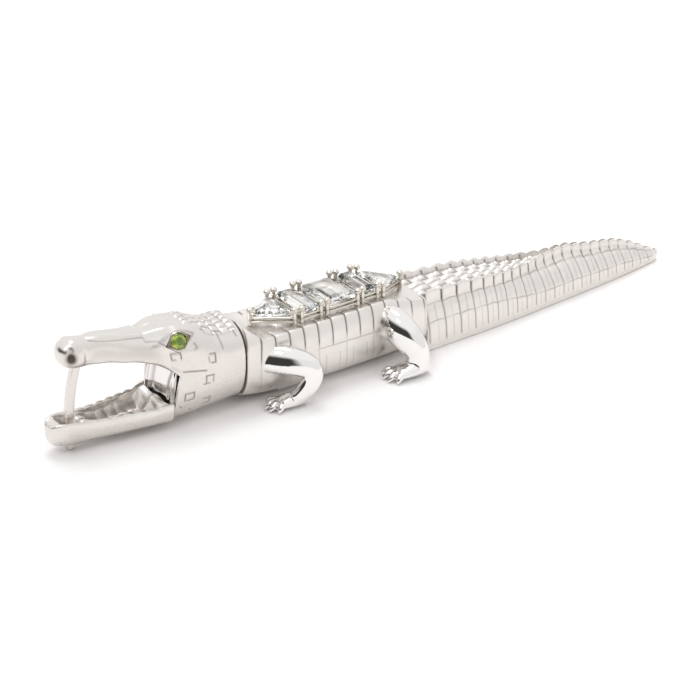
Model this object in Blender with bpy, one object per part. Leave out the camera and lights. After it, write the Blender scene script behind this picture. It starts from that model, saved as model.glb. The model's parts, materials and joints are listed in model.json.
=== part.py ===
"""A hair clip in the form of an alligator, with a hinged lower jaw.

Lengths below are in millimetres. They are measured along the animal from the lower end of the
retainer bar, toward the tail tip, and are shifted at the end so that the middle is the origin.
+X points to the tail, +Z up, and the animal's left side is -Y.
"""

import math

import bmesh
import bpy
import numpy as np

MM = 0.001
MIDDLE = 44.7
GAP = 0.3

# Hinge of the lower jaw, and the arcs about it.
PIVOT_X = 26.3
PIVOT_Z = 2.6
PIN_RADIUS = 0.6
PIN_HALF_LENGTH = 4.2
PIN_FIT = 0.1
CHEEK_ARC = 13.6
SHIELD_ARC = 14.0
SHIELD_THICK = 1.0
SHIELD_HALF_WIDTH = 2.95
SHIELD_LOW = 3.1
SHIELD_HIGH = 7.5
JAW_REAR_ARC = 14.3
PALATE_SLOT_ARC = 14.3

# Retainer bar, an arc about the hinge.
BAR_ARC = 26.45
BAR_HALF_THICK = 0.5
BAR_HALF_WIDTH = 0.5
BAR_TOP = 12.3

# Body lengths.
NECK_SEAM = 22.1
TORSO_START = 22.4
TORSO_END = 50.3
TAIL_START = 50.6
TAIL_TIP = 92.5

# Plates under the body.
PLATE_LOW = 0.25
PLATE_TOP = 0.7
TORSO_FLOOR = 1.0
TAIL_PLATE_TOP = 0.55
TAIL_FLOOR = 0.85

# Stones and their settings.
GIRDLE_Z = 10.5
CLAW_RADIUS = 0.26
CLAW_BALL = 0.45
CLAW_TOP = 11.05
CLAW_FOOT = 9.35
RAIL_OUT = 0.24
RAIL_IN = 0.14
LOW_RAIL = (9.32, 9.68)
HIGH_RAIL = (9.88, 10.16)

# x, half width, lowest z, widest z, highest z
SNOUT = [
    (-1.5, 0.7, 12.3, 12.9, 13.5),
    (-1.25, 1.3, 11.7, 12.9, 14.1),
    (-0.6, 1.8, 11.1, 12.7, 14.6),
    (0.4, 2.1, 10.7, 12.5, 14.8),
    (1.5, 2.0, 10.6, 12.3, 14.6),
    (2.6, 1.7, 10.6, 12.2, 14.1),
    (4.0, 1.75, 10.5, 12.0, 13.9),
    (6.0, 2.1, 10.1, 11.6, 13.9),
    (8.4, 2.7, 9.6, 11.2, 13.8),
    (10.0, 3.2, 9.1, 10.9, 14.1),
    (11.6, 3.7, 8.3, 10.6, 14.5),
    (13.7, 4.1, 7.3, 10.2, 14.4),
    (15.4, 4.3, 6.9, 9.8, 14.1),
    (17.0, 4.2, 7.2, 9.6, 13.3),
    (18.4, 3.6, 7.6, 9.4, 11.8),
]
CHEEK = [
    (11.0, 3.9, 0.55, 6.2, 13.6),
    (13.2, 4.2, 0.35, 6.4, 13.7),
    (15.2, 4.35, 0.4, 6.8, 13.4),
    (17.0, 4.45, 0.6, 7.1, 12.7),
    (18.6, 4.5, 0.75, 7.3, 12.3),
    (20.3, 4.55, 0.85, 7.4, 12.3),
    (NECK_SEAM, 4.6, 1.0, 7.4, 12.1),
]
NECK_CAVITY = [
    (11.0, 3.55, 0.95, 6.6, 12.9),
    (13.2, 3.65, 0.95, 6.6, 12.9),
    (15.4, 3.65, 1.0, 6.6, 12.6),
    (16.8, 3.6, 1.1, 6.2, 11.2),
    (18.4, 3.6, 1.3, 6.0, 9.0),
    (NECK_SEAM + 1.0, 3.6, 1.45, 6.0, 8.6),
]
JAW = [
    (-3.1, 0.5, 2.1, 2.9, 3.5),
    (-2.8, 1.15, 1.6, 3.0, 4.1),
    (-2.0, 1.65, 1.1, 3.0, 4.4),
    (-0.9, 1.95, 0.85, 3.0, 4.4),
    (0.4, 2.05, 0.75, 2.9, 4.2),
    (2.0, 2.15, 0.7, 2.8, 4.0),
    (4.1, 2.5, 0.6, 2.7, 3.9),
    (7.9, 3.1, 0.45, 2.6, 3.7),
    (10.4, 3.6, 0.4, 2.7, 3.7),
    (12.3, 3.95, 0.4, 2.9, 3.9),
    (14.0, 4.15, 0.4, 3.0, 4.1),
]
TORSO = [
    (TORSO_START, 4.65, 0.5, 7.2, 11.9),
    (24.2, 4.8, -0.3, 6.9, 11.0),
    (26.2, 4.95, -0.9, 6.5, 10.6),
    (30.0, 5.1, -1.2, 6.0, 10.5),
    (35.0, 5.2, -1.2, 5.8, 10.5),
    (40.0, 5.15, -1.2, 5.8, 10.4),
    (44.0, 5.0, -1.2, 5.6, 10.1),
    (48.0, 4.75, -1.2, 5.4, 9.6),
    (TORSO_END, 4.6, -1.2, 5.2, 9.2),
]
BACK_HEIGHT = [(TORSO_START, 11.4), (24.0, 9.6), (25.5, 9.0), (42.6, 9.0), (48.5, 7.8), (TORSO_END, 7.7)]
FLANK_LINES = (24.2, 26.4, 28.6, 30.7, 32.8, 34.9, 37.0, 39.1, 41.2, 43.3, 45.3, 47.2, 49.0)

# x, half width at the base, half width at the crest, crest z
TAIL = [
    (TAIL_START, 4.55, 3.4, 7.9),
    (53.5, 4.45, 3.35, 7.8),
    (58.5, 4.3, 3.25, 7.5),
    (62.7, 4.05, 3.0, 7.0),
    (67.3, 3.7, 2.0, 6.6),
    (71.5, 3.3, 0.75, 6.5),
    (75.0, 3.0, 0.35, 6.6),
    (80.0, 2.5, 0.3, 5.7),
    (84.0, 2.05, 0.28, 5.1),
    (87.7, 1.5, 0.25, 3.8),
    (90.0, 1.1, 0.22, 2.6),
    (91.6, 0.8, 0.2, 1.75),
    (TAIL_TIP, 0.4, 0.25, 1.4),
]
TAIL_SCUTES = 24

FRONT_LIMB = [
    ((25.9, 3.6, 6.1), 1.75),
    ((27.2, 5.3, 6.2), 1.75),
    ((29.2, 6.9, 5.6), 1.5),
    ((30.2, 7.6, 4.8), 1.3),
    ((29.9, 7.7, 3.6), 1.15),
    ((28.9, 7.3, 2.2), 1.0),
    ((27.9, 6.9, 1.1), 1.0),
]
FRONT_PAW = [
    ((29.3, 6.9, 0.75), 0.8),
    ((27.9, 6.6, 0.85), 1.25),
    ((26.4, 6.2, 0.7), 1.35),
    ((25.4, 5.95, 0.5), 1.1),
]
FRONT_TOES = [(24.9, 4.75), (24.6, 5.6), (24.8, 6.5), (25.6, 7.35)]
HIND_LIMB = [
    ((43.6, 3.4, 6.4), 2.0),
    ((43.8, 5.4, 6.5), 2.05),
    ((44.2, 6.9, 5.6), 2.0),
    ((44.9, 7.9, 4.0), 1.8),
    ((45.3, 8.5, 2.6), 1.55),
    ((45.0, 8.8, 1.5), 1.45),
]
HIND_PAW = [
    ((46.2, 8.9, 0.95), 0.95),
    ((44.6, 8.7, 1.0), 1.5),
    ((42.8, 8.3, 0.85), 1.75),
    ((41.7, 8.1, 0.6), 1.4),
]
HIND_TOES = [(41.2, 6.4), (40.7, 7.4), (40.7, 8.5), (41.4, 9.6)]

MATERIALS = {
    "white_metal": ((0.86, 0.85, 0.84), 1.0, 0.22),
    "polished_metal": ((0.9, 0.9, 0.9), 1.0, 0.07),
    "clear_stone": ((0.93, 0.94, 0.95), 0.0, 0.02),
    "green_stone": ((0.22, 0.5, 0.06), 0.0, 0.04),
}


def clear_scene():
    for obj in list(bpy.data.objects):
        bpy.data.objects.remove(obj, do_unlink=True)


def material(name):
    found = bpy.data.materials.get(name)
    if found:
        return found
    color, metallic, roughness = MATERIALS[name]
    made = bpy.data.materials.new(name)
    made.use_nodes = True
    shader = made.node_tree.nodes["Principled BSDF"]
    shader.inputs["Base Color"].default_value = (*color, 1.0)
    shader.inputs["Metallic"].default_value = metallic
    shader.inputs["Roughness"].default_value = roughness
    return made


def placed(points):
    """Millimetres along the animal to metres about its middle."""
    points = np.asarray(points, float).reshape(-1, 3)
    return (points - (MIDDLE, 0.0, 0.0)) * MM


def solid(name, points, faces, stuff="white_metal", smooth=True):
    mesh = bpy.data.meshes.new(name)
    mesh.from_pydata(placed(points).tolist(), [], [list(map(int, face)) for face in faces])
    fixed = bmesh.new()
    fixed.from_mesh(mesh)
    bmesh.ops.remove_doubles(fixed, verts=fixed.verts, dist=1e-7)
    bmesh.ops.recalc_face_normals(fixed, faces=fixed.faces)
    fixed.to_mesh(mesh)
    fixed.free()
    for face in mesh.polygons:
        face.use_smooth = smooth
    mesh.materials.append(material(stuff))
    obj = bpy.data.objects.new(name, mesh)
    bpy.context.scene.collection.objects.link(obj)
    return obj


def loft(name, rings, stuff="white_metal", smooth=True):
    """A closed skin through rings of equal point counts, with a face over each end."""
    rings = np.asarray(rings, float)
    count, around = rings.shape[:2]
    faces = []
    for i in range(count - 1):
        for j in range(around):
            k = (j + 1) % around
            faces.append((i * around + j, i * around + k, (i + 1) * around + k, (i + 1) * around + j))
    faces.append(tuple(range(around)))
    faces.append(tuple((count - 1) * around + j for j in range(around)))
    return solid(name, rings.reshape(-1, 3), faces, stuff, smooth)


def helper(obj):
    obj.hide_render = True
    obj.display_type = "WIRE"
    return obj


def boolean(obj, other, operation):
    made = obj.modifiers.new(operation.title() + " " + other.name, "BOOLEAN")
    made.operation = operation
    made.solver = "EXACT"
    made.object = other
    return obj


def cut(obj, *others):
    for other in others:
        boolean(obj, helper(other), "DIFFERENCE")
    return obj


def keep_inside(obj, other):
    return boolean(obj, helper(other), "INTERSECT")


def fuse(obj, others):
    for other in others:
        boolean(obj, helper(other), "UNION")
    return obj


def egg(half_width, low, middle, high, around=24, power_low=2.2, power_high=2.6, grow=0.0):
    """A closed (y, z) outline, widest at the middle height, blunter above than below."""
    angle = np.linspace(0.0, 2.0 * math.pi, around, endpoint=False) + math.pi / around
    side, up = np.cos(angle), np.sin(angle)
    power = np.where(up > 0, power_high, power_low)
    rise = np.where(up > 0, high + grow - middle, middle - low + grow)
    y = (half_width + grow) * np.sign(side) * np.abs(side) ** (2.0 / power)
    z = middle + rise * np.sign(up) * np.abs(up) ** (2.0 / power)
    return y, z


def egg_rings(stations, around=24, power_low=2.2, power_high=2.6, grow=0.0):
    rings = []
    for x, half_width, low, middle, high in stations:
        y, z = egg(half_width, low, middle, high, around, power_low, power_high, grow)
        rings.append(np.stack([np.full(around, x), y, z], axis=1))
    return np.array(rings)


def at(stations, x):
    """The rest of a station's numbers at x, on straight lines between stations."""
    table = np.array(stations, float)
    return [float(np.interp(x, table[:, 0], table[:, k])) for k in range(1, table.shape[1])]


def drum(name, radius, x, z, half_length, around=64):
    """A cylinder with its axis along Y."""
    angle = np.linspace(0.0, 2.0 * math.pi, around, endpoint=False)
    ring = np.stack([x + radius * np.cos(angle), np.zeros(around), z + radius * np.sin(angle)], axis=1)
    return loft(name, [ring + (0.0, y, 0.0) for y in (-half_length, half_length)])


def post(name, radius, x, y, low, high, around=16):
    """A cylinder with its axis along Z."""
    angle = np.linspace(0.0, 2.0 * math.pi, around, endpoint=False) + 0.19
    ring = np.stack([x + radius * np.cos(angle), y + radius * np.sin(angle), np.zeros(around)], axis=1)
    return loft(name, [ring + (0.0, 0.0, z) for z in (low, high)])


def ball(name, radius, center, around=10, levels=6, squash=1.0):
    rings = []
    for level in np.linspace(0.2, math.pi - 0.2, levels):
        angle = np.linspace(0.0, 2.0 * math.pi, around, endpoint=False) + 0.07
        rings.append(
            np.stack(
                [
                    center[0] + radius * math.sin(level) * np.cos(angle),
                    center[1] + radius * math.sin(level) * np.sin(angle),
                    np.full(around, center[2] + squash * radius * math.cos(level)),
                ],
                axis=1,
            )
        )
    return loft(name, rings)


def limb(name, path, stuff="polished_metal", around=12, flatten=1.0, floor=None):
    """A tapering round member along a path of (centre, radius)."""
    centers = np.array([center for center, _ in path], float)
    radii = np.array([radius for _, radius in path], float)
    heading = np.gradient(centers, axis=0)
    heading /= np.linalg.norm(heading, axis=1)[:, None]
    angle = np.linspace(0.0, 2.0 * math.pi, around, endpoint=False)
    side = np.cross(heading[0], (0.0, 0.0, 1.0))
    rings = []
    for center, radius, forward in zip(centers, radii, heading):
        side = side - forward * side.dot(forward)
        side /= np.linalg.norm(side)
        up = np.cross(side, forward)
        ring = center + radius * (np.outer(np.cos(angle), side) + flatten * np.outer(np.sin(angle), up))
        rings.append(ring)
    rings = np.array(rings)
    first = centers[0] + (rings[0] - centers[0]) * 0.45 - heading[0] * radii[0] * 0.5
    last = centers[-1] + (rings[-1] - centers[-1]) * 0.45 + heading[-1] * radii[-1] * 0.5
    rings = np.concatenate([[first], rings, [last]])
    if floor is not None:
        rings[..., 2] = np.maximum(rings[..., 2], floor)
    return loft(name, rings, stuff)


def arc_block(name, inner, outer, low, high, half_width, steps=14, hollow=0.0, stuff="white_metal"):
    """A block bounded by two arcs about the hinge, between two heights in front of it."""
    heights = np.linspace(low, high, steps)
    across = np.linspace(-1.0, 1.0, 9)
    rings = []
    for z in heights:
        reach = outer - hollow * (1.0 - across**2)
        front = PIVOT_X - np.sqrt(reach**2 - (z - PIVOT_Z) ** 2)
        back = PIVOT_X - math.sqrt(inner**2 - (z - PIVOT_Z) ** 2)
        ring = [(x, y * half_width, z) for x, y in zip(front, across)]
        ring += [(back, half_width, z), (back, -half_width, z)]
        rings.append(ring)
    return loft(name, rings, stuff)


def head_casting():
    head = loft("head_casting", egg_rings(SNOUT, 24, 2.4, 2.6))
    cheek = loft("head_cheek", egg_rings(CHEEK, 24, 2.4, 2.6))
    keep_inside(cheek, drum("cheek_front_arc", CHEEK_ARC, PIVOT_X, PIVOT_Z, 9.0, 96))
    fuse(head, [cheek])
    cavity = loft("neck_cavity", egg_rings(NECK_CAVITY, 24, 2.8, 2.8))
    keep_inside(cavity, drum("palate_slot_arc", PALATE_SLOT_ARC, PIVOT_X, PIVOT_Z, 8.0, 96))
    socket = bar_block("bar_socket", GAP * 0.5, 9.0, BAR_TOP + GAP)
    cut(head, cavity, socket)
    for side, word in ((-1, "left"), (1, "right")):
        cut(head, eye_lozenge(word + "_eye_pocket", side, GAP * 0.5, deep=1.15))
    return head


def bar_block(name, grow, low, high, stuff="polished_metal"):
    return arc_block(
        name,
        BAR_ARC - BAR_HALF_THICK - grow,
        BAR_ARC + BAR_HALF_THICK + grow,
        low,
        high,
        BAR_HALF_WIDTH + grow,
        stuff=stuff,
    )


def eye_frame(side):
    """Centre of the eye, and its forward, upward and outward directions."""
    outward = np.array([-0.1, side * 0.88, 0.46])
    outward /= np.linalg.norm(outward)
    along = np.array([1.0, 0.0, 0.16])
    along -= outward * along.dot(outward)
    along /= np.linalg.norm(along)
    upward = np.cross(along, outward) * -side
    return np.array([13.4, side * 3.55, 12.05]), along, upward, outward


def eye_lozenge(name, side, grow, deep, stuff="white_metal"):
    center, along, upward, outward = eye_frame(side)
    reach, rise = 1.75 + grow, 1.15 + grow
    corners = [(-reach, 0.0), (-0.5, -rise), (0.5, -rise), (reach, 0.0), (0.5, rise), (-0.5, rise)]
    rings = []
    for height, scale in ((-0.75 - grow, 1.0), (deep - 0.9, 1.0), (deep - 0.75, 0.9)):
        rings.append([center + scale * (u * along + v * upward) + height * outward for u, v in corners])
    return loft(name, rings, stuff, smooth=False)


def turned(center, along, upward, outward, profile, around):
    """Rings of (height, radius) about the outward axis."""
    angle = np.linspace(0.0, 2.0 * math.pi, around, endpoint=False)
    circle = np.outer(np.cos(angle), along) + np.outer(np.sin(angle), upward)
    return [center + radius * circle + height * outward for height, radius in profile]


def eye(side, word):
    collet = eye_lozenge(word + "_eye_collet", side, 0.0, deep=1.15)
    frame = eye_frame(side)
    cut(collet, loft(word + "_eye_seat", turned(*frame, [(-0.45, 0.35), (0.02, 0.9), (0.8, 0.9)], 16)))
    profile = [(-0.32, 0.3), (0.03, 0.78), (0.1, 0.78), (0.34, 0.48)]
    loft(word + "_eye_stone", turned(*frame, profile, 12), "green_stone", smooth=False)


def jaw_trough():
    jaw = loft("lower_jaw", egg_rings(JAW, 24, 2.2, 4.0))
    inner = []
    for x in (1.6, 2.4, 4.1, 7.9, 10.4, 11.0):
        half_width, low, middle, high = at(JAW, x)
        wide = half_width - 0.62
        floor = low + 1.15
        ridge = 0.5 if 2.0 < x < 10.8 else 0.1
        lip = high + 0.8
        ring = [
            (-wide, lip),
            (-wide, middle + 0.3),
            (-wide * 0.72, floor),
            (-wide * 0.35, floor),
            (0.0, floor + ridge),
            (wide * 0.35, floor),
            (wide * 0.72, floor),
            (wide, middle + 0.3),
            (wide, lip),
        ]
        inner.append([(x, y, z) for y, z in ring])
    tongue = loft("jaw_trough_space", inner)
    rear = drum("jaw_rear_arc", JAW_REAR_ARC, PIVOT_X, PIVOT_Z, 9.0, 96)
    slot = bar_block("jaw_bar_slot", GAP, -1.5, 6.0)
    pit = post("jaw_bar_pit", 1.15, 0.1, 0.0, 2.4, 6.0, 18)
    return cut(jaw, tongue, rear, pit, slot)


def jaw_arm():
    arm = arc_block(
        "jaw_arm",
        SHIELD_ARC - SHIELD_THICK,
        SHIELD_ARC,
        SHIELD_LOW,
        SHIELD_HIGH,
        SHIELD_HALF_WIDTH,
        hollow=0.25,
        stuff="polished_metal",
    )
    bar = [
        [(12.6, y, z) for y, z in ((-1.1, 1.75), (1.1, 1.75), (1.1, 3.6), (-1.1, 3.6))],
        [(16.5, y, z) for y, z in ((-1.1, 1.9), (1.1, 1.9), (1.1, 3.6), (-1.1, 3.6))],
        [(25.6, y, z) for y, z in ((-1.1, 1.95), (1.1, 1.95), (1.1, 3.4), (-1.1, 3.4))],
    ]
    shank = loft("jaw_arm_shank", bar, smooth=False)
    eye_boss = drum("jaw_arm_eye", 1.45, PIVOT_X, PIVOT_Z, 1.25, 24)
    fuse(arm, [shank, eye_boss])
    return cut(arm, drum("jaw_arm_bore", PIN_RADIUS + PIN_FIT, PIVOT_X, PIVOT_Z, 3.0, 24))


def torso_rings(grow=0.0, lines=True):
    xs = [station[0] for station in TORSO]
    depth = {x: 0.0 for x in xs}
    if lines:
        for line in FLANK_LINES:
            depth.pop(line, None)
            depth[line - 0.16] = 0.0
            depth[line] = 0.12
            depth[line + 0.16] = 0.0
    rings = []
    for x in sorted(depth):
        half_width, low, middle, high = at(TORSO, x)
        y, z = egg(half_width, low, middle, high, 24, 2.2, 2.5, grow - depth[x])
        z = np.minimum(z, at(BACK_HEIGHT, x)[0] + grow)
        z = np.maximum(z, TORSO_FLOOR - grow)
        rings.append(np.stack([np.full(len(y), x), y, z], axis=1))
    rings = np.array(rings)
    if grow:
        rings[0, :, 0] -= grow
        rings[-1, :, 0] += grow
    return rings


def torso_casting():
    torso = loft("torso_casting", torso_rings())
    stations = []
    for x in (TORSO_START - 1.0, 24.2, 28.0, 34.0, 40.0, 46.0, 47.6):
        half_width, low, middle, high = at(TORSO, x)
        roof = at(BACK_HEIGHT, x)[0] - 1.1
        stations.append((x, half_width - 0.95, low + 0.6, middle - 0.4, min(roof, high - 1.1)))
    rings = egg_rings(stations, 24, 2.6, 3.2)
    rings[..., 2] = np.where(rings[..., 2] < 2.2, rings[..., 2] - 1.6, rings[..., 2])
    cavity = loft("torso_cavity", rings)
    bore = drum("pin_bore", PIN_RADIUS + PIN_FIT, PIVOT_X, PIVOT_Z, 7.0, 24)
    rivet_hole = post("rivet_hole", 0.5, 38.2, 0.0, 6.0, 8.5)
    return cut(torso, cavity, bore, rivet_hole)


def flat_plate(name, stations, low, high, stuff="white_metal"):
    """A plate with its outline given as (x, half width)."""
    near = [(x, -half) for x, half in stations]
    far = [(x, half) for x, half in reversed(stations)]
    outline = near + far
    return loft(name, [[(x, y, z) for x, y in outline] for z in (low, high)], stuff)


def belly_plate():
    outline = []
    for x in np.linspace(22.8, 50.1, 15):
        half_width, low, middle, high = at(TORSO, x)
        drop = (middle - TORSO_FLOOR) / (middle - low)
        outline.append((x, half_width * (1.0 - drop**2.2) ** (1.0 / 2.2) + 0.12))
    return flat_plate("belly_plate", outline, PLATE_LOW, PLATE_TOP)


def tail_ring(x, lift, dip, grow=0.0):
    """Half of the tail's outline, from the base to the middle of the top, and its mirror image."""
    wide, crest, top = at(TAIL, x)
    crest_top = top + lift
    valley = min(top, crest_top) - 0.75 * min(1.0, crest / 1.6)
    bump = 0.34 * min(1.0, crest / 2.6)
    waist = TAIL_FLOOR + (top - TAIL_FLOOR) * 0.62
    lean = wide - (wide - crest) * 0.42
    half = [
        (wide - 0.05, TAIL_FLOOR),
        (wide, TAIL_FLOOR + 0.3 * (top - TAIL_FLOOR)),
        (lean - dip, waist),
        (crest, top - 0.15 * (top - TAIL_FLOOR)),
        (crest * 0.94, crest_top),
        (crest * 0.78, valley),
        (crest * 0.6, valley + bump * (1.0 - dip * 6.0)),
        (crest * 0.42, valley - 0.05),
        (crest * 0.22, valley + bump * (1.0 - dip * 6.0)),
        (crest * 0.06, valley - 0.05),
    ]
    ring = [(x, -y, z) for y, z in half] + [(x, y, z) for y, z in reversed(half)]
    return ring


def scute_ends():
    """Scute boundaries along the tail, closer together toward the tip."""
    share = np.linspace(0.0, 1.0, TAIL_SCUTES + 1)
    return TAIL_START + (TAIL_TIP - 0.4 - TAIL_START) * (share * 1.16 - share**2 * 0.16)


def tail_casting():
    ends = scute_ends()
    rings = []
    for first, last in zip(ends[:-1], ends[1:]):
        length = last - first
        rings.append(tail_ring(first + 0.04, -0.16, 0.1))
        rings.append(tail_ring(first + 0.7 * length, 0.24, 0.0))
    rings.append(tail_ring(TAIL_TIP - 0.35, -0.05, 0.0))
    rings.append(tail_ring(TAIL_TIP, -0.12, 0.0))
    tail = loft("tail_casting", rings)
    hollow = []
    for x in (TAIL_START + 0.9, 58.0, 66.0, 74.0, 80.0):
        wide, crest, top = at(TAIL, x)
        inner = wide - 1.0
        high = TAIL_FLOOR + (top - TAIL_FLOOR) * 0.5
        ridge = max(crest - 1.0, 0.3)
        roof = min(top - 2.0, TAIL_FLOOR + (top - TAIL_FLOOR) * 0.68)
        half = [(inner, -1.0), (inner, high), (ridge, roof)]
        hollow.append([(x, -y, z) for y, z in half] + [(x, y, z) for y, z in reversed(half)])
    return cut(tail, loft("tail_cavity", hollow))


def tail_plate():
    outline = []
    for x in np.linspace(TAIL_START, TAIL_TIP - 0.1, 16):
        outline.append((x, at(TAIL, x)[0] + 0.12))
    return flat_plate("tail_base_plate", outline, 0.0, TAIL_PLATE_TOP)


def leg(name, side, path, paw, toes, lift):
    def sided(points):
        return [((x, side * y, z), radius) for (x, y, z), radius in points]

    body = limb(name, sided(path), floor=0.0)
    shapes = [limb(name + "_paw", sided(paw), flatten=0.62, floor=0.0)]
    root = paw[-2][0]
    for index, (x, y) in enumerate(toes):
        toe = [
            ((root[0] + (x - root[0]) * 0.25, side * (root[1] + (y - root[1]) * 0.55), 0.7), 0.42),
            ((root[0] + (x - root[0]) * 0.7, side * (root[1] + (y - root[1]) * 0.85), 0.62), 0.46),
            ((x, side * y, 0.42), 0.36),
        ]
        shapes.append(limb(name + "_toe_" + str(index + 1), toe, around=6, floor=0.0))
    fuse(body, shapes)
    flank = loft(name + "_root_cut", torso_rings(lift, lines=False))
    base = flat_plate(name + "_plate_cut", [(24.0, 4.6), (50.6, 4.6)], PLATE_LOW - 0.6, PLATE_TOP + 0.6)
    return cut(body, flank, base)


def brick_plan(center, half_x, half_y, corner):
    """A rectangle in plan with its corners cut off, moved in by any distance."""

    def plan(distance):
        x, y = half_x - distance, half_y - distance
        nip = max(corner - 0.586 * distance, 0.06)
        quarter = [(x - nip, -y), (x, -y + nip), (x, y - nip), (x - nip, y)]
        return [(center + px, py) for px, py in quarter + [(-px, -py) for px, py in quarter]]

    return plan


def wedge_plan(base, apex, half_width, corner):
    """A triangle in plan, its base across the animal and its corners cut off, moved in by any distance."""
    length = abs(apex - base)
    slant = math.hypot(length, half_width)
    radius = length * half_width / (slant + half_width)
    toward = math.copysign(1.0, apex - base)
    middle = base + toward * radius
    foot = half_width * (1.0 - corner / length)
    whole = [
        (base, half_width - corner),
        (base, corner - half_width),
        (base + toward * corner, -foot),
        (apex - toward * corner * 0.5, -corner * 0.5 * half_width / length),
        (apex - toward * corner * 0.5, corner * 0.5 * half_width / length),
        (base + toward * corner, foot),
    ]

    def plan(distance):
        share = 1.0 - distance / radius
        return [(middle + (x - middle) * share, y * share) for x, y in whole]

    return plan


def raised(plan, height, tilt, pivot):
    """Plan points at a height, on a plane that drops toward the tail past a pivot."""
    return [(x, y, height - tilt * max(0.0, x - pivot)) for x, y in plan]


def stone(name, plan, reach, tilt, pivot):
    """A step-cut stone: keel, two pavilion steps, girdle, crown step and table."""
    layers = [
        (reach * 0.85, GIRDLE_Z - 1.15),
        (reach * 0.45, GIRDLE_Z - 0.75),
        (0.0, GIRDLE_Z - 0.05),
        (0.0, GIRDLE_Z + 0.05),
        (reach * 0.22, GIRDLE_Z + 0.34),
        (reach * 0.42, GIRDLE_Z + 0.5),
    ]
    rings = [raised(plan(distance), height, tilt, pivot) for distance, height in layers]
    return loft(name, rings, "clear_stone", smooth=False)


def rail(name, plan, levels, tilt, pivot):
    """A closed square wire that follows an outline."""
    outer, inner = plan(-RAIL_OUT), plan(RAIL_IN)
    around = len(outer)
    points = []
    for edge, height in ((outer, levels[0]), (outer, levels[1]), (inner, levels[1]), (inner, levels[0])):
        points += raised(edge, height, tilt, pivot)
    faces = []
    for k in range(4):
        for j in range(around):
            n = (j + 1) % around
            m = (k + 1) % 4
            faces.append((k * around + j, k * around + n, m * around + n, m * around + j))
    return solid(name, points, faces, "white_metal", smooth=False)


def setting(name, plan, claws, tilt, pivot):
    made = rail(name, plan, HIGH_RAIL, tilt, pivot)
    shapes = [rail(name + "_low_rail", plan, LOW_RAIL, tilt, pivot)]
    for index, (x, y) in enumerate(claws):
        drop = tilt * max(0.0, x - pivot)
        tag = name + "_claw_" + str(index + 1)
        shapes.append(post(tag, CLAW_RADIUS, x, y, CLAW_FOOT - drop, CLAW_TOP - drop, 6))
        shapes.append(ball(tag + "_tip", CLAW_BALL, (x, y, CLAW_TOP - drop + 0.03), 7, 4, 0.85))
    return fuse(made, shapes)


def stones():
    bricks = (
        ("front_baguette", 32.65, 1.42, 3.1, 0.45),
        ("centre_stone", 37.35, 2.4, 3.2, 0.65),
        ("rear_baguette", 41.65, 1.1, 2.9, 0.4),
    )
    for name, center, half_x, half_y, corner in bricks:
        plan = brick_plan(center, half_x, half_y, corner)
        stone(name, plan, half_x, 0.0, 0.0)
        claws = []
        for sx in (-1, 1):
            for sy in (-1, 1):
                x = center + sx * (half_x - corner * 0.5 + 0.24)
                y = sy * (half_y - corner * 0.5 + 0.3)
                claws.append((x, y))
        setting(name + "_setting", plan, claws, 0.0, 0.0)
    wedges = (
        ("front_triangle", 30.35, 25.7, 3.2, 0.0, 0.0),
        ("rear_triangle", 43.6, 48.4, 3.0, 0.2, 42.8),
    )
    for name, base, apex, half_width, lean, start in wedges:
        plan = wedge_plan(base, apex, half_width, 0.6)
        toward = math.copysign(1.0, apex - base)
        stone(name, plan, 1.6, lean, start)
        claws = [
            (base + toward * 0.18, half_width - 0.08),
            (base + toward * 0.18, -half_width + 0.08),
            (apex + toward * 0.05, 0.0),
        ]
        setting(name + "_setting", plan, claws, lean, start)


def hinge_pieces():
    drum_pin = drum("jaw_pivot_pin", PIN_RADIUS, PIVOT_X, PIVOT_Z, PIN_HALF_LENGTH, 20)
    drum_pin.data.materials[0] = material("polished_metal")
    path = [(24.9, 4.75), (27.6, 4.45), (30.6, 5.0), (34.0, 6.6), (36.6, 7.2), (39.6, 7.2)]
    leaf = []
    for index, (x, z) in enumerate(path):
        leaf.append([(x, -1.3, z), (x, 1.3, z), (x, 1.3, z + 0.4), (x, -1.3, z + 0.4)])
    spring = loft("jaw_back_spring", leaf, "polished_metal", smooth=False)
    cut(spring, post("spring_hole", 0.5, 38.2, 0.0, 6.5, 8.5))
    rivet = post("spring_rivet", 0.36, 38.2, 0.0, 6.6, 8.25, 12)
    fuse(rivet, [post("spring_rivet_head", 0.8, 38.2, 0.0, 6.45, 6.95, 12)])


def main():
    clear_scene()
    head_casting()
    for side, word in ((-1, "left"), (1, "right")):
        eye(side, word)
        leg("front_" + word + "_leg", side, FRONT_LIMB, FRONT_PAW, FRONT_TOES, 0.25)
        leg("hind_" + word + "_leg", side, HIND_LIMB, HIND_PAW, HIND_TOES, 0.25)
    torso_casting()
    belly_plate()
    tail_casting()
    tail_plate()
    bar_block("retainer_bar", 0.0, 0.0, BAR_TOP)
    stones()
    hinge_pieces()
    hinge = bpy.data.objects.new("jaw_hinge_axis", None)
    hinge.location = placed([(PIVOT_X, 0.0, PIVOT_Z)])[0]
    bpy.context.scene.collection.objects.link(hinge)
    for piece in (jaw_trough(), jaw_arm()):
        piece.parent = hinge
        piece.matrix_parent_inverse.translation = [-v for v in hinge.location]


main()
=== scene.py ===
"""Looks of the alligator hair clip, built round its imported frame.

Lengths in the classes are millimetres. They run along the animal from the lower end of the
retainer bar toward the tail tip, and placed() turns them into metres about the clip's middle.
+X points to the tail, +Z up, and the animal's left side is -Y.
"""

from __future__ import annotations

import json
import logging
import math
from dataclasses import dataclass
from enum import Enum
from typing import Callable, Sequence

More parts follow.
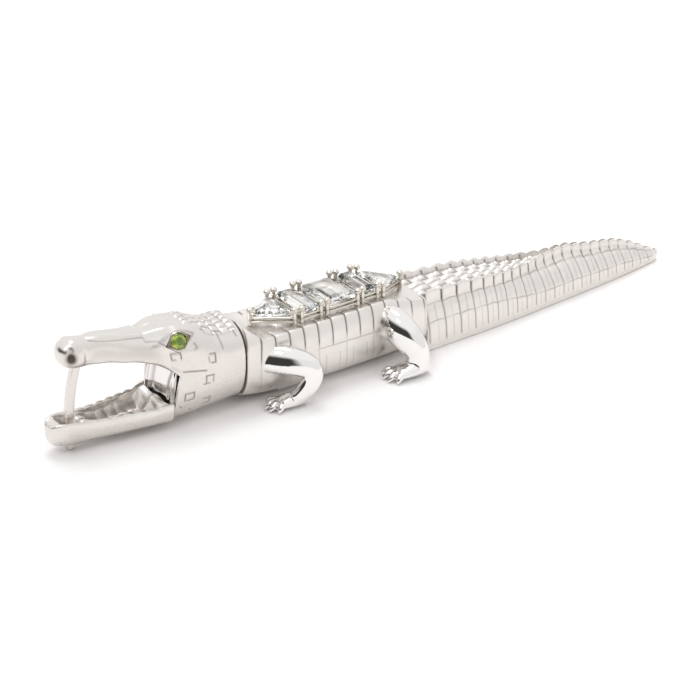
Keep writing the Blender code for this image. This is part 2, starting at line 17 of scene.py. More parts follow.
import bmesh
import bpy
import numpy as np
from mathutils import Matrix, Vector

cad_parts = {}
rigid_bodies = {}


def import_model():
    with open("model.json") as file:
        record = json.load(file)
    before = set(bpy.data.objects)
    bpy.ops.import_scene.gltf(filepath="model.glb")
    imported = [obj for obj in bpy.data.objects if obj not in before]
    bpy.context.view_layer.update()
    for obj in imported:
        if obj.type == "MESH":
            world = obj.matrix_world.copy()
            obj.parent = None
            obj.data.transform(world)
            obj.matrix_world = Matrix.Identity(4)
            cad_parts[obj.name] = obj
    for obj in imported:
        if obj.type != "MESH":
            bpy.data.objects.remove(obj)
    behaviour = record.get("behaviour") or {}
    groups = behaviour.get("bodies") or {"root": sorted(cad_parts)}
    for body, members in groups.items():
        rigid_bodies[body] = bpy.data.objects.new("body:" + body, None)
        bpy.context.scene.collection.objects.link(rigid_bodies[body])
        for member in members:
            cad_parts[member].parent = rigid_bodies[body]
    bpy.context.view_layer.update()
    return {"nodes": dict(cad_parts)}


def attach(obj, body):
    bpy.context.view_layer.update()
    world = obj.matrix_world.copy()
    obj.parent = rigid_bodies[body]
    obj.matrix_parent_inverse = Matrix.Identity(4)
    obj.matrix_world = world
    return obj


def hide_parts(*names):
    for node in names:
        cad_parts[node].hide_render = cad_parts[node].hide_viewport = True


Array = np.ndarray
Color = tuple[float, float, float]
Point = tuple[float, float, float]
Field = Callable[[Array], Array]

LOG = logging.getLogger("alligator_clip")
MIDDLE = 44.7
MM = 0.001
# the attribute below holds both how deeply a point is engraved and painted shade in hollows and gaps
CUT_AND_SHADE_ATTRIBUTE = "engraved"
CAP_RINGS = 7  # rings in the round end of a limb
# the share below darkens engraved cuts and painted shade alike
CUT_AND_SHADE_DARKNESS = 0.92  # share of the line colour in the deepest cut
UNSEEN_NODES = ("jaw_pivot_pin", "jaw_back_spring", "spring_rivet")


class Body(Enum):
    """The two bodies of the frame."""

    FIXED = "body"
    JAW = "lower_jaw"


class Side(Enum):
    """The animal's left and right, as the sign of Y."""

    LEFT = -1
    RIGHT = 1

    @property
    def word(self) -> str:
        """The side's name in lower case."""
        return self.name.lower()


# ---------------------------------------------------------------- numbers and fields


def placed(points: Array) -> Array:
    """Turn millimetres along the animal into metres about its middle.

    Args:
        points: positions of shape (..., 3).

    Returns:
        The same positions in the row frame, shape (count, 3).
    """
    flat = np.asarray(points, float).reshape(-1, 3)
    return (flat - (MIDDLE, 0.0, 0.0)) * MM


def measured(obj: bpy.types.Object) -> Array:
    """Vertex positions of a piece in millimetres along the animal.

    Args:
        obj: the piece.

    Returns:
        Positions of shape (count, 3).
    """
    points = np.empty(len(obj.data.vertices) * 3)
    obj.data.vertices.foreach_get("co", points)
    return points.reshape(-1, 3) / MM + (MIDDLE, 0.0, 0.0)


def ease(values: Array, start: float, end: float) -> Array:
    """A smooth step: 0 before start, 1 after end, 3t^2 - 2t^3 between."""
    t = np.clip((np.asarray(values, float) - start) / (end - start), 0.0, 1.0)
    return t * t * (3.0 - 2.0 * t)


def through(table: Sequence[Sequence[float]], at: Array) -> Array:
    """Columns of a table at given places, on a cubic that passes through every row.

    The slope at a row is the weighted harmonic mean of its two neighbours' slopes, or 0 where they
    disagree in sign, so the curve never swings past its rows.

    Args:
        table: rows of (place, value, value, ...), in order of place.
        at: places, shape (n,).

    Returns:
        Values of shape (n, columns).
    """
    rows = np.asarray(table, float)
    x, y = rows[:, 0], rows[:, 1:]
    step = np.diff(x)[:, None]
    slope = np.diff(y, axis=0) / step
    bend = np.zeros_like(y)
    if len(x) > 2:
        one, two = 2.0 * step[1:] + step[:-1], step[1:] + 2.0 * step[:-1]
        safe = np.where(slope == 0.0, 1.0, slope)
        # where the slopes cancel the mean is infinite, and the next line drops it
        with np.errstate(divide="ignore"):
            mean = (one + two) / (one / safe[:-1] + two / safe[1:])
        bend[1:-1] = np.where(slope[:-1] * slope[1:] > 0.0, mean, 0.0)
    bend[0], bend[-1] = slope[0], slope[-1]
    at = np.clip(np.asarray(at, float), x[0], x[-1])
    i = np.clip(np.searchsorted(x, at, side="right") - 1, 0, len(x) - 2)
    t = ((at - x[i]) / (x[i + 1] - x[i]))[:, None]
    h = step[i]
    return (
        (2 * t**3 - 3 * t**2 + 1) * y[i]
        + (t**3 - 2 * t**2 + t) * h * bend[i]
        + (3 * t**2 - 2 * t**3) * y[i + 1]
        + (t**3 - t**2) * h * bend[i + 1]
    )


def turn(count: int) -> Array:
    """Angles evenly round a circle, half a step off the axis."""
    return (np.arange(count) + 0.5) * 2.0 * math.pi / count


def even_turn(count: int) -> Array:
    """Angles crowded toward the four axes, to space a squarish section: t - 0.15 sin 4t."""
    t = turn(count)
    return t - 0.15 * np.sin(4.0 * t)


def end_round(x: Array, start: float, end: float, radius: float) -> Array:
    """How far a skin draws in near its two ends, as a quarter circle of a radius."""
    near = np.clip(np.minimum(x - start, end - x) / radius, 0.0, 1.0)
    return radius * (1.0 - np.sqrt(1.0 - (1.0 - near) ** 2))


def egg(
    rows: Array, angle: Array, power_low: float | Array, power_high: float | Array
) -> tuple[Array, Array]:
    """Cross-sections that are superellipses above and below their widest height.

    y = half * cos^(2/p) and z = middle + rise * sin^(2/p), with the upper or lower p and rise.

    Args:
        rows: half width, lowest, widest and highest height, shape (n, 4), or (n, m, 4) where every
            point has its own section.
        angle: (m,) angles round the section.
        power_low: exponent of the lower half, one number or one for each row.
        power_high: exponent of the upper half.

    Returns:
        y and z, each of shape (n, m).
    """
    if rows.ndim == 2:
        rows = rows[:, None]
    half, low, middle, high = (rows[..., k] for k in range(4))
    side, up = np.cos(angle)[None], np.sin(angle)[None]
    below = np.broadcast_to(np.reshape(power_low, (-1, 1)), (len(rows), 1))
    above = np.broadcast_to(np.reshape(power_high, (-1, 1)), (len(rows), 1))
    power = np.where(up > 0, above, below)
    rise = np.where(up > 0, high - middle, middle - low)
    y = half * np.sign(side) * np.abs(side) ** (2.0 / power)
    z = middle + rise * np.sign(up) * np.abs(up) ** (2.0 / power)
    return y, z


def stacked(x: Array, y: Array, z: Array) -> Array:
    """One (n, m, 3) grid from x, y and z that broadcast together."""
    return np.stack(np.broadcast_arrays(x, y, z), axis=-1).astype(float)


def closed_spline(controls: Array, per_span: int) -> Array:
    """Closed Catmull-Rom curves, one for each row of control points.

    Args:
        controls: (n, k, d) control points of n closed curves.
        per_span: points for each span between control points.

    Returns:
        Points of shape (n, k * per_span, d).
    """
    t = (np.arange(per_span) / per_span)[None, None, :, None]
    p0, p1, p2, p3 = (np.roll(controls, shift, axis=1)[:, :, None] for shift in (1, 0, -1, -2))
    points = 0.5 * (
        2 * p1
        + (p2 - p0) * t
        + (2 * p0 - 5 * p1 + 4 * p2 - p3) * t**2
        + (3 * p1 - p0 - 3 * p2 + p3) * t**3
    )
    return points.reshape(len(controls), -1, controls.shape[-1])


def normals(points: Array) -> Array:
    """Unit normals of a grid closed in its second direction, pointing away from its middle line.

    Args:
        points: a grid of shape (n, m, 3).

    Returns:
        Unit vectors of the grid's shape.
    """
    along = np.gradient(points, axis=0)
    around = (np.roll(points, -1, 1) - np.roll(points, 1, 1)) / 2.0
    facing = np.cross(along, around)
    facing /= np.linalg.norm(facing, axis=-1, keepdims=True) + 1e-12
    away = points - points.mean(axis=1, keepdims=True)
    return facing * math.copysign(1.0, float((facing * away).sum()))


def mound(points: Array, center: Sequence[float], reach: Sequence[float], height: float) -> Array:
    """A rounded rise on both sides: height * exp(-sum of squared offsets over reach), with |y|.

    Args:
        points: positions, shape (..., 3).
        center: its middle on the +Y side.
        reach: its spread along each axis.
        height: how high it stands, or a hollow's depth if negative.

    Returns:
        The rise at each point.
    """
    mirrored = np.concatenate([points[..., :1], np.abs(points[..., 1:2]), points[..., 2:]], axis=-1)
    offset = (mirrored - np.asarray(center, float)) / np.asarray(reach, float)
    return height * np.exp(-(offset**2).sum(-1))


def stroke(u: Array, v: Array, start: Sequence[float], end: Sequence[float], width: float) -> Array:
    """1 on a straight cut between two points of a plane, falling as exp(-(distance / width)^2).

    Args:
        u: first coordinate of each point.
        v: second coordinate of each point.
        start: where the cut begins.
        end: where it ends.
        width: its half width.

    Returns:
        The depth at each point.
    """
    run = (end[0] - start[0], end[1] - start[1])
    share = ((u - start[0]) * run[0] + (v - start[1]) * run[1]) / (run[0] ** 2 + run[1] ** 2)
    t = np.clip(share, 0.0, 1.0)
    distance = np.hypot(u - start[0] - t * run[0], v - start[1] - t * run[1])
    return np.exp(-((distance / width) ** 2))


# ---------------------------------------------------------------- meshes


def grid_faces(count: int, around: int, ring: bool = False) -> list[tuple[int, ...]]:
    """Corners of the quads of a grid that closes in its second direction.

    Args:
        count: rows of the grid.
        around: points in each row.
        ring: whether the last row joins the first.

    Returns:
        Four vertex indices for each quad.
    """
    i, j = np.arange(count if ring else count - 1)[:, None], np.arange(around)[None]
    after, k = (i + 1) % count, (j + 1) % around
    quads = (i * around + j, i * around + k, after * around + k, after * around + j)
    return list(map(tuple, np.stack(quads, axis=-1).reshape(-1, 4).tolist()))


def piece_from(
    name: str, points: Array, faces: list[tuple[int, ...]], smooth: bool = True
) -> bpy.types.Object:
    """Make a mesh object whose faces point outwards.

    The signed volume is the sum of a . (b x c) / 6 over the triangles. A negative one turns the faces.

    Args:
        name: the object's name.
        points: (count, 3) millimetres.
        faces: vertex indices, each with three or more.
        smooth: whether faces shade smoothly.

    Returns:
        The new object, linked to the scene.
    """
    metres = placed(points)
    fans = [(face[0], face[k], face[k + 1]) for face in faces for k in range(1, len(face) - 1)]
    corner = metres[np.array(fans)]
    volume = np.einsum("ij,ij->i", corner[:, 0], np.cross(corner[:, 1], corner[:, 2])).sum()
    if volume < 0:
        faces = [face[::-1] for face in faces]
    mesh = bpy.data.meshes.new(name)
    mesh.from_pydata(metres.tolist(), [], faces)
    mesh.polygons.foreach_set("use_smooth", np.full(len(mesh.polygons), smooth))
    mesh.update()
    obj = bpy.data.objects.new(name, mesh)
    bpy.context.scene.collection.objects.link(obj)
    return obj


def loft(name: str, rings: Array, smooth: bool = True, fan_ends: bool = True) -> bpy.types.Object:
    """A closed skin through rings (n, m, 3), with a fan or one flat face over each end.

    Args:
        name: the object's name.
        rings: sections in order, shape (n, m, 3).
        smooth: whether faces shade smoothly.
        fan_ends: whether each end is a fan round its middle.

    Returns:
        The new object.
    """
    count, around = rings.shape[:2]
    faces = grid_faces(count, around)
    points = rings.reshape(-1, 3)
    last = (count - 1) * around
    if not fan_ends:
        faces.append(tuple(range(around))[::-1])
        faces.append(tuple(last + n for n in range(around)))
        return piece_from(name, points, faces, smooth)
    points = np.concatenate([points, rings[0].mean(axis=0)[None], rings[-1].mean(axis=0)[None]])
    head, tail = count * around, count * around + 1
    for n in range(around):
        after = (n + 1) % around
        faces.append((after, n, head))
        faces.append((last + n, last + after, tail))
    return piece_from(name, points, faces, smooth)


def joined(name: str, parts: Sequence[bpy.types.Object]) -> bpy.types.Object:
    """One object that holds the meshes of several, which are removed.

    Args:
        name: the object's name.
        parts: the objects to take in.

    Returns:
        The new object.
    """
    build = bmesh.new()
    for part in parts:
        build.from_mesh(part.data)
    mesh = bpy.data.meshes.new(name)
    build.to_mesh(mesh)
    build.free()
    for part in parts:
        discard(part)
    obj = bpy.data.objects.new(name, mesh)
    bpy.context.scene.collection.objects.link(obj)
    return obj


def discard(obj: bpy.types.Object) -> None:
    """Remove an object and its mesh.

    Args:
        obj: the piece.
    """
    mesh = obj.data
    bpy.data.objects.remove(obj, do_unlink=True)
    bpy.data.meshes.remove(mesh)


def settle(obj: bpy.types.Object) -> None:
    """Apply every modifier of a piece to its mesh.

    Args:
        obj: the piece.
    """
    graph = bpy.context.evaluated_depsgraph_get()
    mesh = bpy.data.meshes.new_from_object(obj.evaluated_get(graph))
    obj.modifiers.clear()
    old, obj.data = obj.data, mesh
    mesh.name = obj.name
    bpy.data.meshes.remove(old)


def carve(
    obj: bpy.types.Object, tools: Sequence[bpy.types.Object], operation: str = "DIFFERENCE"
) -> None:
    """Apply a Boolean with each tool, and remove the tools.

    Args:
        obj: the piece.
        tools: the shapes to work with.
        operation: DIFFERENCE, UNION or INTERSECT.
    """
    for tool in tools:
        made = obj.modifiers.new(tool.name, "BOOLEAN")
        made.operation, made.solver, made.object = operation, "MANIFOLD", tool
    settle(obj)
    if not obj.data.polygons:
        raise RuntimeError(f"nothing is left of {obj.name} after carving")
    for tool in tools:
        discard(tool)


def crease(obj: bpy.types.Object, degrees: float) -> None:
    """Shade a piece smoothly, except over edges sharper than an angle.

    Args:
        obj: the piece.
        degrees: the angle past which an edge stays sharp.
    """
    build = bmesh.new()
    build.from_mesh(obj.data)
    limit = math.radians(degrees)
    for edge in build.edges:
        edge.smooth = edge.calc_face_angle(0.0) < limit
    for face in build.faces:
        face.smooth = True
    build.to_mesh(obj.data)
    build.free()


def paint(obj: bpy.types.Object, depth: Field) -> None:
    """Store how dark each point is, from 0 to 1, for the finish to darken: how deeply it is engraved,
    and painted shade.

    Args:
        obj: the piece.
        depth: gives the engraved depth and the painted shade at each position.
    """
    values = np.clip(depth(measured(obj)), 0.0, 1.0)
    layer = obj.data.attributes.new(CUT_AND_SHADE_ATTRIBUTE, "FLOAT", "POINT")
    layer.data.foreach_set("value", values.astype(np.float32))


def round_edges(obj: bpy.types.Object, width: float, segments: int = 3) -> None:
    """Round the sharp edges of a piece by a width in millimetres.

    Args:
        obj: the piece.
        width: how far each edge is cut back.
        segments: faces across the rounding.
    """
    bevel = obj.modifiers.new("rounded edges", "BEVEL")
    bevel.width, bevel.segments, bevel.limit_method = width * MM, segments, "ANGLE"
    bevel.angle_limit = math.radians(30.0)
    settle(obj)
    crease(obj, 50.0)


def drum(
    name: str, radius: float, x: float, z: float, half_length: float, around: int = 160
) -> bpy.types.Object:
    """A cylinder with its axis along Y.

    Args:
        name: the object's name.
        radius: its radius.
        x: place of the axis along the animal.
        z: height of the axis.
        half_length: half its length.
        around: points round it.

    Returns:
        The new object.
    """
    angle = turn(around)
    y = np.array([-half_length, half_length])[:, None]
    rings = stacked(x + radius * np.cos(angle), y, z + radius * np.sin(angle))
    return loft(name, rings, fan_ends=False)


def post(name: str, radius: float, x: float, y: float, low: float, high: float) -> bpy.types.Object:
    """A cylinder with its axis along Z.

    Args:
        name: the object's name.
        radius: its radius.
        x: place of the axis along the animal.
        y: place of the axis across.
        low: its lowest height.
        high: its highest height.

    Returns:
        The new object.
    """
    angle = turn(28)
    z = np.array([low, high])[:, None]
    rings = stacked(x + radius * np.cos(angle), y + radius * np.sin(angle), z)
    return loft(name, rings, fan_ends=False)


def bead(
    name: str, radius: float, center: Sequence[float], squash: float = 1.0
) -> bpy.types.Object:
    """A small ball, flattened in height by squash.

    Args:
        name: the object's name.
        radius: its radius.
        center: its middle.
        squash: its height over its width.

    Returns:
        The new object.
    """
    level = np.linspace(0.08, math.pi - 0.08, 12)[:, None]
    angle = turn(18)
    x = center[0] + radius * np.sin(level) * np.cos(angle)
    y = center[1] + radius * np.sin(level) * np.sin(angle)
    return loft(name, stacked(x, y, center[2] + squash * radius * np.cos(level)))


def member(
    name: str,
    path: Sequence[Sequence[float]],
    around: int = 40,
    steps: int = 60,
    square: float = 1.0,
    lean: float = 0.0,
    relax: int = 0,
) -> bpy.types.Object:
    """A tapering round limb along a smooth path, with hemispherical ends.

    Args:
        name: the object's name.
        path: rows of (x, y, z, radius across, radius up).
        around: points round the limb.
        steps: rings along it.
        square: power of sine and cosine in the section: 1 is round, less is squarer.
        lean: how much narrower the section is above than below.
        relax: how many times each ring moves to the mean of itself and its neighbours.

    Returns:
        The limb, resting on or above z = 0.
    """
    rows = np.asarray(path, float)
    place = np.concatenate([[0.0], np.cumsum(np.linalg.norm(np.diff(rows[:, :3], axis=0), axis=1))])
    smooth = through(np.column_stack([place, rows]), np.linspace(0.0, place[-1], steps))
    for _ in range(relax):
        smooth[1:-1] = (smooth[:-2] + 2.0 * smooth[1:-1] + smooth[2:]) / 4.0
    centers, across, up = smooth[:, :3], smooth[:, 3:4], smooth[:, 4:5]
    heading = np.gradient(centers, axis=0)
    heading /= np.linalg.norm(heading, axis=1)[:, None]
    side = np.cross(heading, (0.0, 0.0, 1.0))
    side[0] /= np.linalg.norm(side[0])
    for n in range(1, steps):
        side[n] = side[n - 1] - heading[n] * side[n - 1].dot(heading[n])
        side[n] /= np.linalg.norm(side[n])
    over = np.cross(side, heading)
    quarter = np.linspace(0.0, math.pi / 2, CAP_RINGS + 1)
    bulge, retreat = np.sin(quarter), np.cos(quarter)
    shrink = np.concatenate([bulge[:-1], np.ones(steps), bulge[-2::-1]])
    first, last = np.zeros(CAP_RINGS, int), np.full(CAP_RINGS, steps - 1)
    index = np.concatenate([first, np.arange(steps), last])
    shift = np.concatenate([-retreat[:-1], np.zeros(steps), retreat[-2::-1]])[:, None] * up[index]
    angle = turn(around)[None, :, None]
    axis = (centers[index] + heading[index] * shift)[:, None]
    reach = (shrink[:, None] + 0.02)[:, None]
    level, rise = (np.sign(w) * np.abs(w) ** square for w in (np.cos(angle), np.sin(angle)))
    level = level * (1.0 - lean * rise)
    sideways, upward = (side * across)[index][:, None], (over * up)[index][:, None]
    rings = axis + reach * (level * sideways + rise * upward)
    rings[..., 2] = np.maximum(rings[..., 2], 0.0)
    return loft(name, rings)


# ---------------------------------------------------------------- finishes


def node(tree: bpy.types.NodeTree, kind: str, **values: object) -> bpy.types.Node:
    """Add a shader node and set its properties.

    Args:
        tree: the tree that the node goes into.
        kind: the node's type, without ShaderNode.
        values: properties to set.

    Returns:
        The new node.
    """
    made = tree.nodes.new("ShaderNode" + kind)
    for key, value in values.items():
        setattr(made, key, value)
    return made


def arithmetic(
    tree: bpy.types.NodeTree, operation: str, one: object, two: object
) -> bpy.types.NodeSocket:
    """A Math node on two sockets or numbers, returning its output.

    Args:
        tree: the tree that the node goes into.
        operation: what the node does.
        one: first socket or number.
        two: second socket or number.

    Returns:
        The node's output.
    """
    made = node(tree, "Math", operation=operation)
    for socket, value in zip(made.inputs, (one, two)):
        if isinstance(value, bpy.types.NodeSocket):
            tree.links.new(value, socket)
        else:
            socket.default_value = float(value)
    return made.outputs[0]


def blended(
    tree: bpy.types.NodeTree, share: object, one: object, two: object
) -> bpy.types.NodeSocket:
    """A colour mix of two colours or sockets by a share, returning its output.

    Args:
        tree: the tree that the node goes into.
        share: how much of the second colour.
        one: first colour.
        two: second colour.

    Returns:
        The node's output.
    """
    made = node(tree, "Mix", data_type="RGBA")
    for socket, value in ((made.inputs[0], share), (made.inputs[6], one), (made.inputs[7], two)):
        if isinstance(value, bpy.types.NodeSocket):
            tree.links.new(value, socket)
        elif isinstance(value, tuple):
            socket.default_value = (*value, 1.0)
        else:
            socket.default_value = float(value)
    return made.outputs[2]


def hand_finish_group() -> bpy.types.NodeTree:
    """The marks that hand polishing leaves: soft clouds, a fine grain and long hairline scratches.

    Returns:
        A node group with Vector, Scale and Grain in, and Cloud, Scratch and Height out.
    """
    found = bpy.data.node_groups.get("hand_finish")
    if found:
        return found
    tree = bpy.data.node_groups.new("hand_finish", "ShaderNodeTree")
    for name, kind, start in (
        ("Vector", "NodeSocketVector", None),
        ("Scale", "NodeSocketFloat", 700.0),
        ("Grain", "NodeSocketFloat", 0.5),
    ):
        socket = tree.interface.new_socket(name, in_out="INPUT", socket_type=kind)
        if start is not None:
            socket.default_value = start
    for name in ("Cloud", "Scratch", "Height"):
        tree.interface.new_socket(name, in_out="OUTPUT", socket_type="NodeSocketFloat")
    into, out = tree.nodes.new("NodeGroupInput"), tree.nodes.new("NodeGroupOutput")
    cloud = node(tree, "TexNoise")
    cloud.inputs["Detail"].default_value = 3.0
    fine = node(tree, "TexNoise")
    fine.inputs["Detail"].default_value = 2.0
    stretch = node(tree, "Mapping")
    stretch.inputs["Rotation"].default_value = (0.3, 0.5, 0.7)
    stretch.inputs["Scale"].default_value = (0.06, 1.0, 1.0)
    hair = node(tree, "TexNoise")
    links = tree.links
    links.new(into.outputs["Vector"], cloud.inputs["Vector"])
    links.new(into.outputs["Scale"], cloud.inputs["Scale"])
    links.new(into.outputs["Vector"], fine.inputs["Vector"])
    links.new(arithmetic(tree, "MULTIPLY", into.outputs["Scale"], 9.0), fine.inputs["Scale"])
    links.new(into.outputs["Vector"], stretch.inputs["Vector"])
    links.new(stretch.outputs["Vector"], hair.inputs["Vector"])
    links.new(arithmetic(tree, "MULTIPLY", into.outputs["Scale"], 16.0), hair.inputs["Scale"])
    thin = arithmetic(tree, "SUBTRACT", hair.outputs["Fac"], 0.62)
    thin = arithmetic(tree, "MULTIPLY", thin, 6.0)
    scratch = arithmetic(tree, "MINIMUM", arithmetic(tree, "MAXIMUM", thin, 0.0), 1.0)
    grain = arithmetic(tree, "MULTIPLY", fine.outputs["Fac"], into.outputs["Grain"])
    links.new(cloud.outputs["Fac"], out.inputs["Cloud"])
    links.new(scratch, out.inputs["Scratch"])
    links.new(arithmetic(tree, "ADD", cloud.outputs["Fac"], grain), out.inputs["Height"])
    return tree


@dataclass(frozen=True)
class MetalFinish:
    """A white precious metal, with dark residue in what is engraved and painted shade where its
    attribute marks hollows, gaps and seats.
    """

    name: str
    base: Color
    shade: Color
    # colour of engraved cuts and of painted shade
    line: Color
    roughness: float
    spread: float
    scale: float
    relief: float
    grain: float = 0.4
    slot: str = "satin_metal"

    def material(self) -> bpy.types.Material:
        """The finish as a material, built once.

        Returns:
            The material.
        """
        found = bpy.data.materials.get(self.name)
        if found:
            return found
        made = bpy.data.materials.new(self.name)
        made.use_nodes = True
        tree = made.node_tree
        shader = tree.nodes["Principled BSDF"]
        shader.inputs["Metallic"].default_value = 1.0
        place = node(tree, "TexCoord")
        group = node(tree, "Group", node_tree=hand_finish_group())
        tree.links.new(place.outputs["Object"], group.inputs["Vector"])
        group.inputs["Scale"].default_value = self.scale
        group.inputs["Grain"].default_value = self.grain
        cut = node(tree, "Attribute", attribute_type="GEOMETRY", attribute_name=CUT_AND_SHADE_ATTRIBUTE)
        depth = cut.outputs["Fac"]
        tint = blended(tree, group.outputs["Cloud"], self.base, self.shade)
        # engraved cuts and painted shade both draw the colour toward the line colour
        cut_and_shade_darkening = arithmetic(tree, "MULTIPLY", depth, CUT_AND_SHADE_DARKNESS)
        color = blended(tree, cut_and_shade_darkening, tint, self.line)
        tree.links.new(color, shader.inputs["Base Color"])
        rough = arithmetic(tree, "MULTIPLY", group.outputs["Cloud"], self.spread)
        rough = arithmetic(tree, "ADD", rough, self.roughness)
        for source, share in ((group.outputs["Scratch"], 0.06), (depth, 0.35)):
            rough = arithmetic(tree, "ADD", rough, arithmetic(tree, "MULTIPLY", source, share))
        tree.links.new(rough, shader.inputs["Roughness"])
        bump = node(tree, "Bump")
        bump.inputs["Strength"].default_value = 1.0
        bump.inputs["Distance"].default_value = self.relief * MM
        tree.links.new(group.outputs["Height"], bump.inputs["Height"])
        tree.links.new(bump.outputs["Normal"], shader.inputs["Normal"])
        return made


@dataclass(frozen=True)
class StoneFinish:
    """A transparent stone with faint clouds in it, and painted light and shade that vary its colour a
    little from facet to facet with each facet's facing.
    """

    name: str
    tint: Color
    # colour of the clouds and of the facets painted in shade
    veil_and_facet_shade: Color
    ior: float
    clear: float
    slot: str

    def material(self) -> bpy.types.Material:
        """The finish as a material, built once.

        Returns:
            The material.
        """
        found = bpy.data.materials.get(self.name)
        if found:
            return found
        made = bpy.data.materials.new(self.name)
        made.use_nodes = True
        tree = made.node_tree
        shader = tree.nodes["Principled BSDF"]
        shader.inputs["IOR"].default_value = self.ior
        shader.inputs["Transmission Weight"].default_value = self.clear
        place = node(tree, "TexCoord")
        group = node(tree, "Group", node_tree=hand_finish_group())
        tree.links.new(place.outputs["Object"], group.inputs["Vector"])
        group.inputs["Scale"].default_value = 900.0
        group.inputs["Grain"].default_value = 0.2
        # painted light and shade: each flat facet's colour follows its normal, through a sine
        lean = node(tree, "VectorMath", operation="DOT_PRODUCT")
        lean.inputs[1].default_value = (4.3, 7.1, 5.7)
        tree.links.new(place.outputs["Normal"], lean.inputs[0])
        facet = arithmetic(tree, "SINE", lean.outputs["Value"], 0.0)
        facet = arithmetic(tree, "MULTIPLY", facet, 0.5)
        share = arithmetic(tree, "ADD", facet, group.outputs["Cloud"])
        tree.links.new(blended(tree, share, self.tint, self.veil_and_facet_shade), shader.inputs["Base Color"])
        rough = arithmetic(tree, "MULTIPLY", group.outputs["Scratch"], 0.04)
        tree.links.new(arithmetic(tree, "ADD", rough, 0.004), shader.inputs["Roughness"])
        self.let_light_in(tree, shader)
        return made

    def let_light_in(self, tree: bpy.types.NodeTree, shader: bpy.types.Node) -> None:
        """Let the light of the lamps and the sky straight through to the metal behind the stone.

        Args:
            tree: the stone's node tree.
            shader: the stone's own shader.
        """
        through_light = node(tree, "BsdfTransparent")
        path = node(tree, "LightPath")
        mix = node(tree, "MixShader")
        tree.links.new(path.outputs["Is Shadow Ray"], mix.inputs[0])
        tree.links.new(shader.outputs[0], mix.inputs[1])
        tree.links.new(through_light.outputs[0], mix.inputs[2])
        tree.links.new(mix.outputs[0], tree.nodes["Material Output"].inputs["Surface"])


SATIN = MetalFinish(
    name="satin_white_metal",
    base=(0.84, 0.81, 0.78),
    shade=(0.76, 0.725, 0.695),
    line=(0.13, 0.09, 0.065),
    roughness=0.3,
    spread=0.12,
    scale=650.0,
    relief=0.02,
)
HEAD_SATIN = MetalFinish(
    name="head_white_metal",
    base=(0.8, 0.765, 0.73),
    shade=(0.72, 0.685, 0.655),
    line=(0.09, 0.06, 0.045),
    roughness=0.2,
    spread=0.12,
    scale=520.0,
    relief=0.025,
)
POLISHED = MetalFinish(
    name="polished_white_metal",
    base=(0.9, 0.885, 0.87),
    shade=(0.85, 0.83, 0.81),
    line=(0.3, 0.27, 0.25),
    roughness=0.035,
    spread=0.03,
    scale=420.0,
    relief=0.012,
    grain=0.15,
    slot="polished_metal",
)
BAR = MetalFinish(
    name="drawn_bar_metal",
    base=(0.79, 0.75, 0.715),
    shade=(0.74, 0.7, 0.665),
    line=(0.2, 0.14, 0.1),
    roughness=0.22,
    spread=0.1,
    scale=600.0,
    relief=0.015,
)
WIRE = MetalFinish(
    name="gallery_wire",
    base=(0.8, 0.77, 0.71),
    shade=(0.66, 0.62, 0.54),
    line=(0.16, 0.12, 0.07),
    roughness=0.08,
    spread=0.06,
    scale=1100.0,
    relief=0.012,
    grain=0.3,
)
HIDDEN = MetalFinish(
    name="sawn_back_metal",
    base=(0.74, 0.72, 0.7),
    shade=(0.64, 0.62, 0.6),
    line=(0.3, 0.27, 0.25),
    roughness=0.3,
    spread=0.16,
    scale=900.0,
    relief=0.02,
)
CLEAR = StoneFinish(
    name="clear_step_cut",
    tint=(1.0, 1.0, 0.995),
    veil_and_facet_shade=(0.98, 0.983, 0.975),
    ior=1.72,
    clear=1.0,
    slot="clear_stone",
)
GREEN = StoneFinish(
    name="green_round_cut",
    tint=(0.8, 0.9, 0.12),
    veil_and_facet_shade=(0.1, 0.26, 0.01),
    ior=1.75,
    clear=0.7,
    slot="green_stone",
)


def dress(
    obj: bpy.types.Object, finish: MetalFinish | StoneFinish, body: Body, *nodes: str
) -> None:
    """Give a piece its finish, its body and the CAD nodes that it stands for.

    Args:
        obj: the finished piece.
        finish: what it is made of.
        body: the body that it moves with.
        nodes: the CAD nodes that it replaces, if any.
    """
    obj.data.materials.clear()
    obj.data.materials.append(finish.material())
    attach(obj, body.value)
    if nodes:
        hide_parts(*nodes)
    LOG.info("%s: %d faces on %s", obj.name, len(obj.data.polygons), body.value)


# ---------------------------------------------------------------- hinge, bar and jaw


@dataclass(frozen=True)
class Hinge:
    """The jaw's axis and the arcs about it."""

    x: float = 26.3
    z: float = 2.6
    cheek: float = 13.85
    slot: float = 14.3
    jaw_rear: float = 14.1
    shield: float = 14.0
    bar: float = 26.45

    def front(self, radius: float | Array, z: Array) -> Array:
        """The x of an arc at a height, on the side toward the head: x - sqrt(r^2 - (z - z0)^2)."""
        return self.x - np.sqrt(np.maximum(np.asarray(radius) ** 2 - (z - self.z) ** 2, 0.0))


HINGE = Hinge()


@dataclass
class RetainerBar:
    """The square bar, an arc about the hinge, that runs from the snout through the jaw's tip."""

    half_thick: float = 0.49
    half_width: float = 0.49
    top: float = 12.25

    def solid(self, name: str, grow: float, low: float, high: float) -> bpy.types.Object:
        """The bar between two heights, thicker by grow on every side.

        Args:
            name: the object's name.
            grow: how much thicker on every side.
            low: lower end.
            high: upper end.

        Returns:
            The new object.
        """
        z = np.linspace(low, high, 60)[:, None]
        reach, wide = self.half_thick + grow, self.half_width + grow
        radius = HINGE.bar + reach * np.array([1.0, 1.0, -1.0, -1.0])
        y = wide * np.array([-1.0, 1.0, 1.0, -1.0])
        return loft(name, stacked(HINGE.front(radius, z), y, z), smooth=False, fan_ends=False)

    def build(self) -> None:
        """Make the bar, its lower end rounded over."""
        bar = self.solid("retainer_bar_polished", 0.0, 0.0, self.top)
        round_edges(bar, 0.11)
        dress(bar, BAR, Body.FIXED, "retainer_bar")


